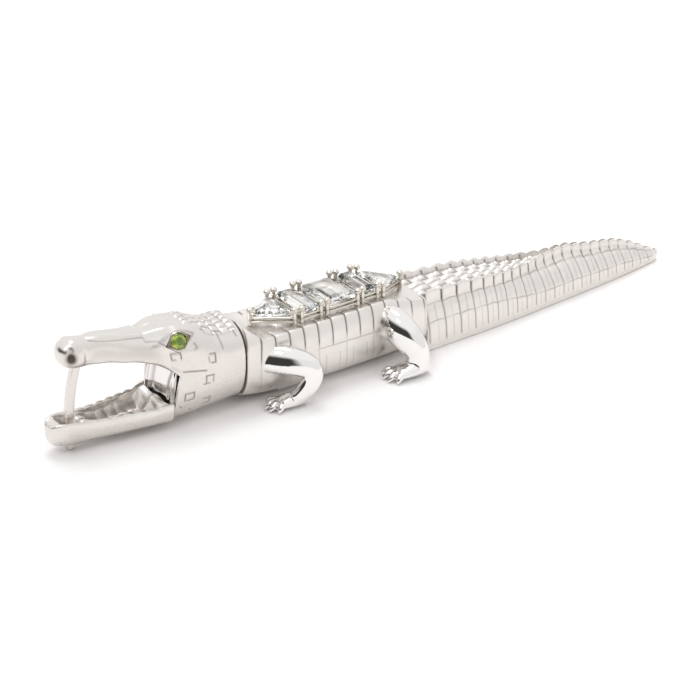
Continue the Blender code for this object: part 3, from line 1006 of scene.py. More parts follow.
@dataclass
class LowerJaw:
    """The trough-shaped lower jaw, its arm and the curved back wall of the mouth."""

    # x, half width, lowest, widest, rim, depth of the trough, height of the tongue
    stations: tuple[tuple[float, ...], ...] = (
        (-3.1, 0.03, 2.85, 2.9, 2.95, 0.02, 0.0),
        (-3.06, 0.45, 2.3, 2.9, 3.4, 0.03, 0.0),
        (-2.9, 0.95, 1.75, 2.95, 3.95, 0.05, 0.0),
        (-2.5, 1.4, 1.35, 3.0, 4.3, 0.1, 0.0),
        (-1.8, 1.72, 1.05, 3.0, 4.4, 0.2, 0.0),
        (-1.1, 1.9, 0.88, 3.0, 4.38, 0.9, 0.0),
        (-0.3, 2.0, 0.78, 3.0, 4.28, 1.35, 0.0),
        (0.7, 2.07, 0.74, 2.9, 4.12, 1.35, 0.0),
        (1.5, 2.1, 0.71, 2.85, 4.02, 0.75, 0.1),
        (2.4, 2.2, 0.7, 2.8, 3.95, 1.1, 0.35),
        (4.1, 2.5, 0.6, 2.7, 3.88, 1.8, 0.6),
        (7.9, 3.1, 0.45, 2.6, 3.68, 2.0, 0.7),
        (10.0, 3.52, 0.4, 2.7, 3.68, 2.0, 0.55),
        (10.9, 3.7, 0.4, 2.8, 3.8, 1.5, 0.4),
        (11.6, 3.85, 0.4, 2.85, 3.86, 0.8, 0.3),
        (12.3, 3.95, 0.4, 2.9, 3.88, 0.7, 0.25),
        (14.0, 4.12, 0.4, 3.0, 3.95, 0.7, 0.2),
    )
    wall: float = 0.62
    rings: int = 260
    shield_low: float = 3.1
    shield_high: float = 7.5
    # half width of the mouth's back wall at a height
    shield_edge: tuple[tuple[float, float], ...] = ((3.1, 3.4), (5.6, 3.45), (6.4, 3.3), (7.5, 2.9))

    def rim_waves(self, x: Array) -> Array:
        """Tooth-like bumps along the rim: 0.09 |sin| with a slower swell, faded at both ends."""
        along = ease(x, 0.8, 2.6) * (1.0 - ease(x, 10.4, 11.4))
        return along * (0.09 * np.abs(np.sin(math.pi * x / 1.45)) + 0.06 * np.sin(x * 1.1) - 0.1)

    def sections(self) -> Array:
        """U-shaped sections: a spline through the keel, flank, rim, inner wall, floor and tongue.

        Returns:
            Rings of shape (n, m, 3).
        """
        chin = -3.1 + 1.6 * np.linspace(0.0, 1.0, 50) ** 2
        x = np.concatenate([chin, np.linspace(-1.49, 14.0, self.rings)])
        half, low, middle, rim, depth, tongue = through(self.stations, x).T
        rim = rim + self.rim_waves(x)
        thin = self.wall * np.clip(half / 2.0, 0.05, 1.0)
        floor = rim - depth
        drop = middle - low
        waver = 0.06 * np.sin(x * 1.9) * ease(x, 1.0, 3.0)
        across = [
            (0.0 * half, low),
            (0.34 * half, low + 0.05 * drop),
            (0.66 * half, low + 0.21 * drop),
            (0.9 * half, low + 0.52 * drop),
            (half, middle),
            (half - 0.04 * thin, rim - 0.45 * np.minimum(1.0, drop)),
            (half - 0.2 * thin, rim - 0.08 * np.minimum(1.0, drop)),
            (half - 0.55 * thin, rim),
            (half - 0.95 * thin, rim - 0.12 * depth),
            (half - 1.15 * thin, rim - 0.5 * depth + waver * 0.4),
            (0.7 * (half - 1.2 * thin), floor + 0.12 * depth),
            (0.42 * (half - 1.2 * thin), floor),
            (0.16 * (half - 1.2 * thin), floor + 0.72 * tongue),
            (0.0 * half, floor + tongue + waver * (tongue > 0.05)),
        ]
        ring = [(y, z) for y, z in across] + [(-y, z) for y, z in across[-2:0:-1]]
        controls = np.stack([np.stack([x, y, z], axis=-1) for y, z in ring], axis=1)
        return closed_spline(controls, 8)

    def engraved(self, points: Array) -> Array:
        """Painted shade on the trough's floor, in its corners, round the bar's pit and along the jaw's
        rear face, with a darker painted patch on its right side.

        Args:
            points: positions, shape (..., 3).

        Returns:
            The depth at each point.
        """
        x, y, z = points.T
        half, _, _, rim = through(self.stations, x).T[:4]
        # painted shade inside the trough, in its inner corners and in the bar's pit
        inside = ease(rim - z, 0.5, 1.9) * ease(x, -1.0, 0.0) * (1.0 - ease(x, 10.6, 11.8))
        inner = 1.0 - ease(np.abs(y), half - 0.55, half - 0.3)
        pit = np.exp(-(((x + 0.1) / 1.25) ** 2 + (y / 1.25) ** 2)) * ease(rim - z, 0.25, 0.9)
        corner = np.exp(-(((np.abs(y) - (half - 1.2)) / 0.22) ** 2)) * inside
        # painted shade in a mottled patch on the trough's right side
        patch = 0.9 * np.exp(-(((x - 5.4) / 1.5) ** 2 + ((y - 1.9) / 0.75) ** 2)) * inside
        patch = patch * (0.75 + 0.25 * np.sin(9.0 * x) * np.sin(7.0 * z))
        # painted shade in the gap along the jaw's rear face
        rear = ease(np.hypot(x - HINGE.x, z - HINGE.z) - HINGE.jaw_rear, 0.12, 0.02)
        marks = np.maximum(np.maximum(inside * inner * 0.2, 0.5 * corner), patch)
        return np.maximum(np.maximum(marks, 0.85 * pit * (z > 1.5)), 0.8 * rear * (x > 9.0))

    def build(self, bar: RetainerBar) -> None:
        """Make the jaw and the arm.

        Args:
            bar: the bar whose way through the jaw's tip is cut.
        """
        jaw = loft("lower_jaw_trough", self.sections())
        slot = bar.solid("way of the bar", 0.26, -1.0, 5.2)
        rear = drum("jaw rear arc", HINGE.jaw_rear, HINGE.x, HINGE.z, 9.0, 220)
        carve(jaw, [rear, slot])
        crease(jaw, 42.0)
        paint(jaw, self.engraved)
        dress(jaw, HEAD_SATIN, Body.JAW, "lower_jaw")
        self.arm()

    def arm(self) -> None:
        """Make the back wall, an arc about the hinge, hollow toward the mouth, and its shank."""
        z = np.linspace(self.shield_low, self.shield_high, 60)[:, None]
        across = np.linspace(-1.0, 1.0, 121)
        half = through(self.shield_edge, z[:, 0])
        flutes = 0.05 * np.cos(across * 17.0) * ease(np.abs(across), 0.25, 0.8)
        reach = HINGE.shield - 0.07 - 0.16 * (1.0 - across**2) + np.minimum(flutes, 0.05)
        front = stacked(HINGE.front(reach, z), across * half, z)
        back = stacked(HINGE.front(HINGE.shield - 1.0, z), across[::-1] * half, z)
        wall = loft("mouth back wall", np.concatenate([front, back], axis=1), fan_ends=False)
        z0 = np.array([1.8, 1.95, 1.97])
        z1 = np.array([3.58, 3.58, 3.38])
        x = np.array([12.75, 16.5, 25.2])
        y = np.array([-1.08, 1.08, 1.08, -1.08])
        heights = np.stack([z0, z0, z1, z1], axis=1)
        shank = loft("jaw shank", stacked(x[:, None], y, heights), smooth=False, fan_ends=False)
        boss = drum("hinge boss", 1.43, HINGE.x, HINGE.z, 1.22, 48)
        carve(wall, [shank, boss], "UNION")
        carve(wall, [drum("hinge bore", 0.72, HINGE.x, HINGE.z, 3.0, 48)])
        wall.name = "jaw_arm_and_back_wall"
        crease(wall, 35.0)
        paint(wall, self.painted_wall_shade)
        dress(wall, POLISHED, Body.JAW, "jaw_arm")

    def painted_wall_shade(self, points: Array) -> Array:
        """Painted shade and reflections on the back wall: uneven upright dark streaks, a faint
        darkening all over it, and a dark line along its foot.

        Args:
            points: positions, shape (..., 3).

        Returns:
            The depth at each point.
        """
        x, y, z = points.T
        # painted shade and reflections inside the mouth
        waver = 0.12 * np.sin(2.0 * z)
        streak = 0.85 * np.exp(-(((y + 1.7 + waver) / 0.34) ** 2)) * ease(z, 4.0, 5.2)
        edge = 0.6 * np.exp(-(((np.abs(y) - 3.0) / 0.2) ** 2))
        edge = (edge + 0.6 * np.exp(-(((y - 1.9) / 0.45) ** 2))) * ease(z, 3.9, 4.6)
        foot = 0.8 * (1.0 - ease(z, 3.2, 3.4))
        return np.maximum(np.maximum(streak, edge), np.maximum(foot, 0.1)) * (x < 13.6)


# ---------------------------------------------------------------- head


@dataclass
class Head:
    """Snout, skull, cheeks and neck in one casting, hollow for the jaw's arm."""

    snout: tuple[tuple[float, ...], ...] = (
        (-1.25, 0.03, 12.88, 12.9, 12.92),
        (-1.21, 0.4, 12.5, 12.9, 13.3),
        (-1.07, 0.88, 12.0, 12.9, 13.72),
        (-0.75, 1.38, 11.5, 12.85, 14.13),
        (-0.25, 1.73, 11.1, 12.7, 14.4),
        (0.5, 1.92, 10.85, 12.5, 14.6),
        (1.4, 1.82, 10.75, 12.3, 14.56),
        (2.6, 1.6, 10.7, 12.2, 14.35),
        (4.2, 1.7, 10.52, 12.0, 14.15),
        (6.2, 2.05, 10.15, 11.55, 13.72),
        (8.4, 2.6, 9.7, 11.1, 13.42),
        (10.0, 3.05, 9.2, 10.7, 13.3),
        (11.6, 3.55, 8.35, 10.4, 13.42),
        (13.28, 4.08, 7.3, 10.2, 13.4),
    )
    skull: tuple[tuple[float, ...], ...] = (
        (12.3, 3.95, 0.45, 6.5, 13.4),
        (13.28, 4.08, 0.4, 6.6, 13.4),
        (15.2, 4.25, 0.45, 6.9, 13.25),
        (17.0, 4.38, 0.6, 7.1, 12.65),
        (18.6, 4.45, 0.75, 7.2, 11.85),
        (20.3, 4.5, 0.85, 7.2, 11.45),
        (22.15, 4.57, 1.0, 7.2, 11.5),
    )
    cavity: tuple[tuple[float, ...], ...] = (
        (11.0, 3.55, 0.95, 6.6, 12.9),
        (13.2, 3.65, 0.95, 6.6, 12.9),
        (15.4, 3.65, 1.0, 6.6, 12.6),
        (16.8, 3.6, 1.1, 6.2, 11.2),
        (18.4, 3.6, 1.3, 6.0, 9.0),
        (23.1, 3.6, 1.45, 6.0, 8.6),
    )
    tip: float = -1.25
    corner: float = 13.28
    creep: float = 0.6
    top_power: float = 2.45
    around: int = 284
    neck_end: float = 22.15
    # lower edge of the bright facet along the snout, as x and z
    facet: tuple[tuple[float, float], ...] = (
        (2.6, 14.05),
        (3.85, 13.72),
        (5.4, 13.4),
        (7.1, 13.1),
        (9.5, 12.75),
        (9.6, 12.3),
        (11.6, 12.2),
        (12.6, 12.75),
    )
    # corners of the cut round the eye's collet, as x and z
    eye_rim: tuple[tuple[float, float], ...] = (
        (11.0, 12.1),
        (13.3, 13.35),
        (15.7, 12.1),
        (13.3, 10.75),
        (11.0, 12.1),
    )
    # the nape scutes: where their rows start, and one scute's length and width
    scute_start: float = 17.3
    scute_long: float = 1.2
    scute_wide: float = 1.05
    # rounded rises and hollows on both sides: centre, reach, height
    mounds: tuple[tuple[Point, Point, float], ...] = (
        ((0.5, 0.95, 14.3), (0.75, 0.7, 0.9), 0.16),
        ((-0.1, 1.75, 12.75), (0.5, 0.7, 0.6), -0.45),
        ((-0.1, 1.3, 13.5), (0.2, 0.6, 0.5), -0.14),
        ((1.9, 1.8, 12.6), (0.35, 0.8, 1.4), -0.14),
        ((13.3, 1.95, 13.7), (1.9, 0.7, 0.8), 0.24),
        ((16.2, 2.3, 13.1), (1.1, 0.8, 0.8), 0.2),
        ((13.6, 0.0, 13.8), (2.6, 0.95, 1.2), -0.25),
        ((11.0, 3.0, 12.9), (1.5, 0.8, 0.5), -0.3),
        ((12.3, 1.9, 13.5), (1.0, 0.55, 0.6), 0.16),
        ((13.4, 2.9, 12.4), (1.9, 1.2, 1.2), 0.5),
        ((13.4, 4.2, 10.3), (2.4, 0.8, 0.45), 0.05),
        ((16.6, 4.2, 11.2), (1.2, 0.8, 0.9), 0.1),
    )
    # engraved strokes on both cheeks: x0, z0, x1, z1, strength
    cuts: tuple[tuple[float, ...], ...] = (
        (13.5, 7.95, 16.6, 7.35, 0.75),
        (12.2, 10.55, 13.4, 10.45, 0.7),
        (12.15, 10.55, 12.2, 9.75, 0.75),
        (13.4, 10.45, 13.45, 9.7, 0.8),
        (12.25, 9.72, 12.7, 9.7, 0.6),
        (17.2, 9.35, 17.95, 9.25, 0.75),
        (17.95, 9.3, 17.9, 8.15, 0.85),
        (17.9, 8.15, 17.3, 8.2, 0.7),
        (17.0, 9.0, 17.05, 8.4, 0.5),
        (16.55, 6.6, 17.6, 6.5, 0.75),
        (16.6, 6.6, 16.55, 5.5, 0.8),
        (17.6, 6.5, 17.5, 5.6, 0.6),
        (16.2, 5.55, 17.0, 5.5, 0.7),
        (13.75, 4.8, 14.95, 4.75, 0.75),
        (13.75, 4.8, 13.7, 3.8, 0.8),
        (14.95, 4.75, 14.95, 3.8, 0.8),
        (13.7, 3.8, 14.95, 3.8, 0.7),
        (16.4, 3.3, 17.3, 3.3, 0.7),
        (17.3, 3.3, 17.2, 2.5, 0.75),
        (16.5, 2.5, 17.2, 2.45, 0.6),
        (15.4, 11.1, 15.75, 10.5, 0.6),
        (15.75, 10.5, 15.3, 10.4, 0.5),
        (16.1, 12.75, 16.6, 12.7, 0.6),
        (13.1, 3.1, 13.35, 2.9, 0.6),
        (14.6, 2.2, 14.9, 2.0, 0.5),
        (18.9, 11.7, 19.15, 9.5, 0.55),
        (21.1, 11.5, 21.4, 10.3, 0.6),
        (20.2, 11.7, 20.3, 11.2, 0.5),
    )

    def sections(self) -> Array:
        """Rings from the snout's tip to the neck.

        Up to the mouth's corner a ring is the snout's section, easing into the skull's first one
        cut off level with the corner. Then the cheeks open: the cut sinks to the throat along the
        cheek's arc, and each point that it passes sets off toward the neck from that arc.

        Returns:
            Rings of shape (n, m, 3).
        """
        angle = even_turn(self.around)
        corner_z = float(self.snout[-1][2])
        nose = self.tip + 0.75 * np.linspace(0.0, 1.0, 26) ** 2
        x = np.concatenate([nose, np.linspace(-0.45, self.corner, 140)])
        rows = through(self.snout, x)
        blunt = 2.1 - 0.35 * ease(x, 5.5, 8.0) + 0.85 * ease(x, 9.5, 12.8)
        y, z = egg(rows, angle, 2.1 + 0.9 * ease(x, 2.0, 8.0), blunt)
        first = through(self.skull, np.array([self.corner]))
        whole_y, whole_z = egg(first, angle, 2.4, self.top_power)
        share = ease(x, 10.4, self.corner)[:, None]
        cut_y = whole_y * rows[:, :1] / first[0, 0]
        above = np.maximum(whole_z, corner_z) - corner_z
        cut_z = rows[:, 1:2] + above * (rows[:, 3:] - rows[:, 1:2]) / (first[0, 3] - corner_z)
        front = stacked(x[:, None], y + (cut_y - y) * share, z + (cut_z - z) * share)

        start = np.where(whole_z < corner_z, HINGE.front(HINGE.cheek, whole_z), self.corner)
        reached = np.clip((corner_z - whole_z) / (corner_z - whole_z.min()), 0.0, 1.0)
        sunk = np.linspace(0.0, 1.0, 46)[1:, None]
        level = corner_z + (whole_z.min() - corner_z) * sunk
        waiting = reached > sunk
        move = start + self.creep * np.maximum(sunk - reached, 0.0)
        y, z = self.skull_at(move, angle)
        scale = 0.5 + 0.5 * sunk
        opening = stacked(
            np.where(waiting, HINGE.front(HINGE.cheek, level), move),
            np.where(waiting, whole_y * (0.985 + 0.015 * scale), y),
            np.where(waiting, level, z),
        )
        begin = move[-1:]
        behind = begin + (self.neck_end - begin) * np.linspace(0.0, 1.0, 110)[1:, None]
        y, z = self.skull_at(behind, angle)
        return np.concatenate([front, opening, stacked(behind, y, z)])

    def skull_at(self, x: Array, angle: Array) -> tuple[Array, Array]:
        """The skull's section at each point's own x: y and z of shape (n, m)."""
        return egg(through(self.skull, x.ravel()).reshape(*x.shape, 4), angle, 2.4, self.top_power)

    def relief(self, points: Array) -> Array:
        """How far each point of the skin stands out, in millimetres, before engraving.

        Args:
            points: positions, shape (..., 3).

        Returns:
            The rise at each point.
        """
        x, y, z = points[..., 0], np.abs(points[..., 1]), points[..., 2]
        rows = through(self.snout, x.ravel()).reshape(*x.shape, 4)
        half, low, middle, high = (rows[..., k] for k in range(4))
        along = ease(x, 2.2, 4.0) * (1.0 - ease(x, 10.5, 13.0))
        lip = 0.13 * np.exp(-(((z - low - 0.5) / 0.32) ** 2))
        lip = lip * ease(x, 0.6, 3.0) * (1.0 - ease(x, 12.5, 14.5))
        lip *= 1.0 + 0.25 * np.sin(x * 2.1)
        hollow = -0.15 * np.exp(-(((z - middle - 0.25) / 0.8) ** 2)) * along * ease(y, 0.5, 1.2)
        ridge = 0.14 * np.exp(-(((z - high + 0.3) / 0.32) ** 2))
        ridge = ridge * np.exp(-(((y - 0.45 * half) / 0.4) ** 2)) * along
        spine = -0.12 * np.exp(-((y / 0.5) ** 2)) * along * (z > middle)
        facet_low = np.interp(x, *np.array(self.facet).T[:, :5])
        facet = 0.14 * ease(z, facet_low - 0.02, facet_low + 0.1)
        facet = facet * ease(x, 2.0, 3.4) * (1.0 - ease(x, 9.2, 9.7))
        total = lip + hollow + ridge + spine + facet
        for center, reach, height in self.mounds:
            total += mound(points, center, reach, height)
        row = np.sin(math.pi * (x - self.scute_start) / self.scute_long)
        pillow = np.sqrt(np.abs(row * np.sin(math.pi * self.column(x, y))))
        return total + 0.17 * pillow * self.nape(points)

    def column(self, x: Array, y: Array) -> Array:
        """Count of nape scutes across, every second row moved by half a scute."""
        row = np.floor((x - self.scute_start) / self.scute_long)
        return y / self.scute_wide + 0.5 * (row % 2)

    def nape(self, points: Array) -> Array:
        """1 on the back of the neck, where the scutes are, easing to 0 round it.

        Args:
            points: positions, shape (..., 3).

        Returns:
            The share at each point.
        """
        x, y, z = points[..., 0], np.abs(points[..., 1]), points[..., 2]
        wide = 1.5 + 1.4 * ease(x, 15.6, 17.6)
        along = ease(x, 14.9, 15.3) * (1.0 - ease(x, 21.6, 21.9))
        return along * (1.0 - ease(y, wide, wide + 0.3)) * ease(z, 9.6, 10.1)

    def engraved(self, points: Array) -> Array:
        """The cuts on the cheeks and the joints of the nape scutes, with painted shade in the
        nostrils, along the facet's edge and the crease under the brow, along the snout's flank, round
        the eye's pocket and at the neck's end, from 0 to 1.

        Args:
            points: positions, shape (..., 3).

        Returns:
            The depth at each point.
        """
        x, y, z = points[..., 0], np.abs(points[..., 1]), points[..., 2]
        depth = np.zeros(x.shape)
        outer = ease(y, 2.2, 2.9)
        for x0, z0, x1, z1, strength in self.cuts:
            depth = np.maximum(depth, strength * stroke(x, z, (x0, z0), (x1, z1), 0.1) * outer)
        # painted shade along the facet's lower edge and the crease under the brow
        for start, end in zip(self.facet[:-1], self.facet[1:]):
            depth = np.maximum(depth, 0.45 * stroke(x, z, start, end, 0.08) * ease(y, 0.5, 0.9))
        # painted shadow of the collet round the eye's pocket
        for start, end in zip(self.eye_rim[:-1], self.eye_rim[1:]):
            depth = np.maximum(depth, 0.55 * stroke(x, z, start, end, 0.11) * ease(y, 2.4, 3.0))
        # painted shade in the nostrils and the slit above them
        nostril = mound(points, (-0.1, 1.75, 12.7), (0.52, 0.8, 0.68), 1.9)
        slit = 0.6 * stroke(x, z, (0.05, 13.0), (0.2, 13.9), 0.13) * ease(y, 0.7, 1.1)
        nostril = np.maximum(nostril, slit)
        row = np.abs((x - self.scute_start) / self.scute_long % 1.0 - 0.5) * self.scute_long
        column = np.abs(self.column(x, y) % 1.0 - 0.5) * self.scute_wide
        joints = np.maximum(
            np.exp(-(((self.scute_long / 2 - row) / 0.09) ** 2)),
            np.exp(-(((self.scute_wide / 2 - column) / 0.08) ** 2)),
        )
        # painted shade along the middle of the snout's flank
        middle = through(self.snout, x.ravel())[:, 2].reshape(x.shape)
        flank = 0.17 * np.exp(-(((z - middle - 0.1) / 0.75) ** 2))
        flank = flank * ease(x, 2.0, 3.4) * (1.0 - ease(x, 10.0, 12.0))
        # painted shade where the neck meets the torso
        rim = 0.85 * ease(x, self.neck_end - 0.12, self.neck_end - 0.02)
        marks = np.maximum(np.maximum(depth, nostril), 0.6 * joints * self.nape(points))
        return np.maximum(np.maximum(marks, flank * ease(y, 0.8, 1.3)), rim)

    def build(self, bar: RetainerBar, eyes: Sequence[Eye]) -> None:
        """Make the head.

        Args:
            bar: the bar that is let into the snout.
            eyes: the eyes that are let into its sides.
        """
        skin = self.sections()
        facing = normals(skin)
        skin = skin + facing * self.relief(skin)[..., None]
        cut_depth = self.engraved(skin)
        # far ahead of the snout, so that only the neck's end is drawn in
        drawn_in = end_round(skin[..., 0], -9.0, self.neck_end, 0.15)
        skin = skin - facing * (0.07 * cut_depth + drawn_in)[..., None]
        skin[..., 0] = np.clip(skin[..., 0], self.tip, self.neck_end)
        head = loft("head_casting_engraved", skin)
        x = np.linspace(11.0, 23.1, 40)
        y, z = egg(through(self.cavity, x), turn(64), 2.8, 2.8)
        hollow = loft("neck hollow", stacked(x[:, None], y, z), fan_ends=False)
        palate = drum("palate arc", HINGE.slot, HINGE.x, HINGE.z, 8.0, 220)
        carve(hollow, [palate], "INTERSECT")
        pockets = [eye.lozenge(f"{eye.side.word} eye pocket", 0.04, 2.6) for eye in eyes]
        socket = bar.solid("bar socket", 0.05, 8.5, bar.top + 0.1)
        carve(head, [hollow, socket, *pockets])
        crease(head, 50.0)
        paint(head, self.engraved)
        dress(head, HEAD_SATIN, Body.FIXED, "head_casting")


@dataclass
class Eye:
    """A round green stone in a lozenge-shaped collet with a grain at each end."""

    side: Side
    reach: float = 1.8
    rise: float = 1.22
    center: Point = (13.45, 3.27, 11.78)

    def axes(self) -> tuple[Array, Array, Array, Array]:
        """Centre, and the directions along, up and out of the eye.

        Returns:
            Centre, along, up and outward.
        """
        sign = self.side.value
        outward = np.array([-0.1, sign * 0.88, 0.46])
        outward /= np.linalg.norm(outward)
        along = np.array([1.0, 0.0, 0.16])
        along -= outward * along.dot(outward)
        along /= np.linalg.norm(along)
        upward = np.cross(along, outward) * -sign
        center = np.array([self.center[0], sign * self.center[1], self.center[2]])
        return center, along, upward, outward

    def plan(self, u: Array, v: Array, height: Array) -> Array:
        """Points at (u, v) on the eye's face and a height above it.

        Args:
            u: distance along the eye.
            v: distance up it.
            height: distance out of it.

        Returns:
            Positions of shape (..., 3).
        """
        center, along, upward, outward = self.axes()
        u, v, height = np.broadcast_arrays(u, v, height)
        return center + u[..., None] * along + v[..., None] * upward + height[..., None] * outward

    def lozenge(self, name: str, grow: float, deep: float) -> bpy.types.Object:
        """The collet's blank, or with grow its pocket.

        Args:
            name: the object's name.
            grow: how much larger on every side.
            deep: how far it reaches outwards.

        Returns:
            The new object.
        """
        reach, rise = self.reach + grow, self.rise + grow
        u = np.array([-reach, -0.5, 0.5, reach, 0.5, -0.5])
        v = np.array([0.0, -rise, -rise, 0.0, rise, rise])
        height = np.array([-0.75 - grow, deep - 0.9, deep - 0.75])[:, None]
        scale = np.array([1.0, 1.0, 0.9])[:, None]
        return loft(name, self.plan(u * scale, v * scale, height), smooth=False, fan_ends=False)

    def turned(
        self, name: str, profile: Sequence[tuple[float, float]], around: int, jog: float = 0.0
    ) -> bpy.types.Object:
        """A turned shape from (height, radius) rows, each row turned a little from the last.

        Args:
            name: the object's name.
            profile: rows of height and radius.
            around: points round it.
            jog: turn from each row to the next, in radians.

        Returns:
            The new object.
        """
        rows = np.asarray(profile, float)
        angle = turn(around)[None] + jog * np.arange(len(rows))[:, None]
        points = self.plan(rows[:, 1:] * np.cos(angle), rows[:, 1:] * np.sin(angle), rows[:, :1])
        return loft(name, points, smooth=False, fan_ends=False)

    def build(self) -> None:
        """Make the collet and the stone."""
        collet = self.lozenge(f"{self.side.word}_eye_collet_cut", 0.0, 0.85)
        seat = self.turned("eye seat", [(-0.62, 0.4), (-0.12, 1.02), (0.3, 1.06)], 40)
        carve(collet, [seat])
        grains = []
        for n, (u, v) in enumerate(((-1.12, 0.18), (1.12, -0.18), (-0.5, 0.94), (0.5, -0.94))):
            spot = self.plan(np.array(u), np.array(v), np.array(0.14))
            grains.append(bead(f"grain {n}", 0.15, spot))
        collet = joined(f"{self.side.word}_eye_collet_grains", [collet, *grains])
        crease(collet, 35.0)
        paint(collet, self.shadow)
        dress(collet, WIRE, Body.FIXED, f"{self.side.word}_eye_collet")
        stone = self.turned(
            f"{self.side.word}_eye_cut_stone",
            [(-0.5, 0.15), (-0.2, 0.62), (0.03, 1.0), (0.08, 1.0), (0.25, 0.78), (0.36, 0.5)],
            14,
            math.pi / 14,
        )
        dress(stone, GREEN, Body.FIXED, f"{self.side.word}_eye_stone")

    def shadow(self, points: Array) -> Array:
        """Painted shade in the seat under the stone and over the collet's two pointed ends.

        Args:
            points: positions, shape (..., 3).

        Returns:
            The depth at each point.
        """
        center, along, upward, _ = self.axes()
        offset = points - center
        u, v = offset @ along, offset @ upward
        # painted shade: the seat inside the ring and the ends past the stone
        ring = 1.0 - ease(np.hypot(u, v), 1.05, 1.15)
        return np.maximum(0.85 * ring, ease(np.abs(u), 1.0, 1.15))


# ---------------------------------------------------------------- torso


@dataclass
class Torso:
    """The flanks and back, a shell open below, with engraved plates."""

    stations: tuple[tuple[float, ...], ...] = (
        (22.25, 4.6, 0.95, 7.2, 11.4),
        (24.2, 4.75, 0.6, 6.9, 11.0),
        (26.2, 4.9, 0.42, 6.4, 10.55),
        (30.0, 5.05, 0.32, 5.8, 10.45),
        (35.0, 5.13, 0.3, 5.6, 10.45),
        (40.0, 5.08, 0.3, 5.5, 10.35),
        (44.0, 4.93, 0.3, 5.4, 10.05),
        (48.0, 4.7, 0.3, 5.2, 9.55),
        (49.6, 4.62, 0.3, 5.05, 9.25),
    )
    # height of the flat back along the torso
    back: tuple[tuple[float, float], ...] = (
        (22.25, 11.3),
        (24.0, 9.6),
        (25.5, 8.95),
        (42.6, 8.95),
        (48.5, 7.75),
        (49.6, 7.68),
    )
    front: float = 22.25
    end: float = 49.6
    floor: float = 0.3
    first_line: float = 24.2
    pitch: float = 2.08
    around: int = 324

    def outline(self, x: Array, around: int, grow: float = 0.0) -> Array:
        """Sections flattened at the back and the base, grown by a margin.

        Args:
            x: places along the animal.
            around: points round it.
            grow: margin on every side.

        Returns:
            Rings of shape (n, m, 3).
        """
        rows = through(self.stations, x)
        rows = rows + np.array([grow, -grow, 0.0, grow])
        y, z = egg(rows, even_turn(around), 2.9, 2.5)
        top = through(self.back, x) + grow
        z = np.clip(z, self.floor - grow, top)
        return stacked(x[:, None], y, z)

    def phase(self, x: Array, z: Array) -> Array:
        """Count of plates up to a point, whole numbers on the lines, which bow with height."""
        return (x - self.first_line - 0.035 * (z - 5.6) ** 2 * 0.6) / self.pitch

    def relief(self, points: Array) -> Array:
        """Each plate domes between its lines, most strongly toward the back.

        Args:
            points: positions, shape (..., 3).

        Returns:
            The rise at each point.
        """
        x, z = points[..., 0], points[..., 2]
        share = self.phase(x, z) % 1.0
        upper = ease(z, 5.6, 8.2)
        dome = 0.035 * np.sin(math.pi * share) ** 0.7 * upper
        shoulder = 0.07 * np.sin(math.pi * share) ** 0.5 * ease(z, 8.1, 8.8)
        return (dome + shoulder) * ease(np.abs(points[..., 1]), 2.0, 3.4)

    def engraved(self, points: Array) -> Array:
        """Lines round the flank, heavy above and faint below, and a line along its middle, with
        painted reflection and shade in three dark patches by the legs and painted shade along the
        front edge where the neck meets it.

        Args:
            points: positions, shape (..., 3).

        Returns:
            The depth at each point.
        """
        x, y, z = points[..., 0], np.abs(points[..., 1]), points[..., 2]
        flank = ease(y, 2.8, 3.5)
        share = (self.phase(x, z) + 0.5) % 1.0 - 0.5
        width = 0.07 + 0.035 * ease(z, 6.0, 9.0)
        count = np.round(self.phase(x, z))
        reach = 6.1 + 0.5 * np.sin(count * 2.3)
        weight = 0.3 + 0.7 * ease(z, reach - 0.5, reach + 0.7)
        upright = weight * np.exp(-((share * self.pitch / width) ** 2)) * ease(z, 1.2, 2.2)
        upright = upright * ((z > 5.75) | (count % 2 == 0))
        low = (np.round(self.phase(x, z) + 0.5) - 0.5 - self.phase(x, z)) * self.pitch
        between = 0.25 * np.exp(-((low / 0.08) ** 2)) * (z < 4.7) * ease(z, 1.6, 2.4)
        between = between * (x > 31.0) * (x < 43.0)
        waist = 0.4 * np.exp(-(((z - 5.72 + 0.02 * (x - 38.0)) / 0.075) ** 2))
        waist = waist * ease(x, 31.5, 33.0) * (1.0 - ease(x, 43.0, 44.5))
        # painted reflection and shade: dark patches on the flank before the hind leg and above the
        # front leg
        patch = 0.8 * np.exp(-(((x - 41.7) / 0.6) ** 2 + ((z - 5.7) / 0.45) ** 2))
        patch = patch + 0.8 * np.exp(-(((x - 42.3) / 0.5) ** 2 + ((z - 2.6) / 0.8) ** 2))
        patch = patch + 0.6 * np.exp(-(((x - 27.4) / 0.9) ** 2 + ((z - 8.1) / 0.22) ** 2))
        patch = patch * (0.8 + 0.2 * np.sin(5.0 * x + 3.0 * z))
        # painted shade where the torso meets the neck
        rim = 0.85 * (1.0 - ease(x, 22.27, 22.38))
        lines = np.maximum(np.maximum(upright, waist), between)
        return np.maximum(np.maximum(lines, patch) * flank, rim)

    def hollow(self) -> bpy.types.Object:
        """The space inside the shell, open through the floor by a narrower slot.

        Returns:
            The new object.
        """
        x = np.array([21.4, 24.2, 28.0, 34.0, 40.0, 46.0, 47.6])
        rows = through(self.stations, x)
        roof = np.minimum(through(self.back, x)[:, 0] - 1.1, rows[:, 3] - 1.1)
        wide, level = rows[:, 0] - 0.95, np.ones_like(x)
        y = np.stack([2.0 * level, 2.0 * level, wide - 0.35, wide, wide, wide - 1.5], axis=1)
        steps = (-0.6 * level, 1.2 * level, 2.1 * level, 3.4 * level)
        z = np.stack([*steps, roof - 1.8, roof], axis=1)
        y = np.concatenate([y, -y[:, ::-1]], axis=1)
        z = np.concatenate([z, z[:, ::-1]], axis=1)
        return loft("torso hollow", stacked(x[:, None], y, z), fan_ends=False)

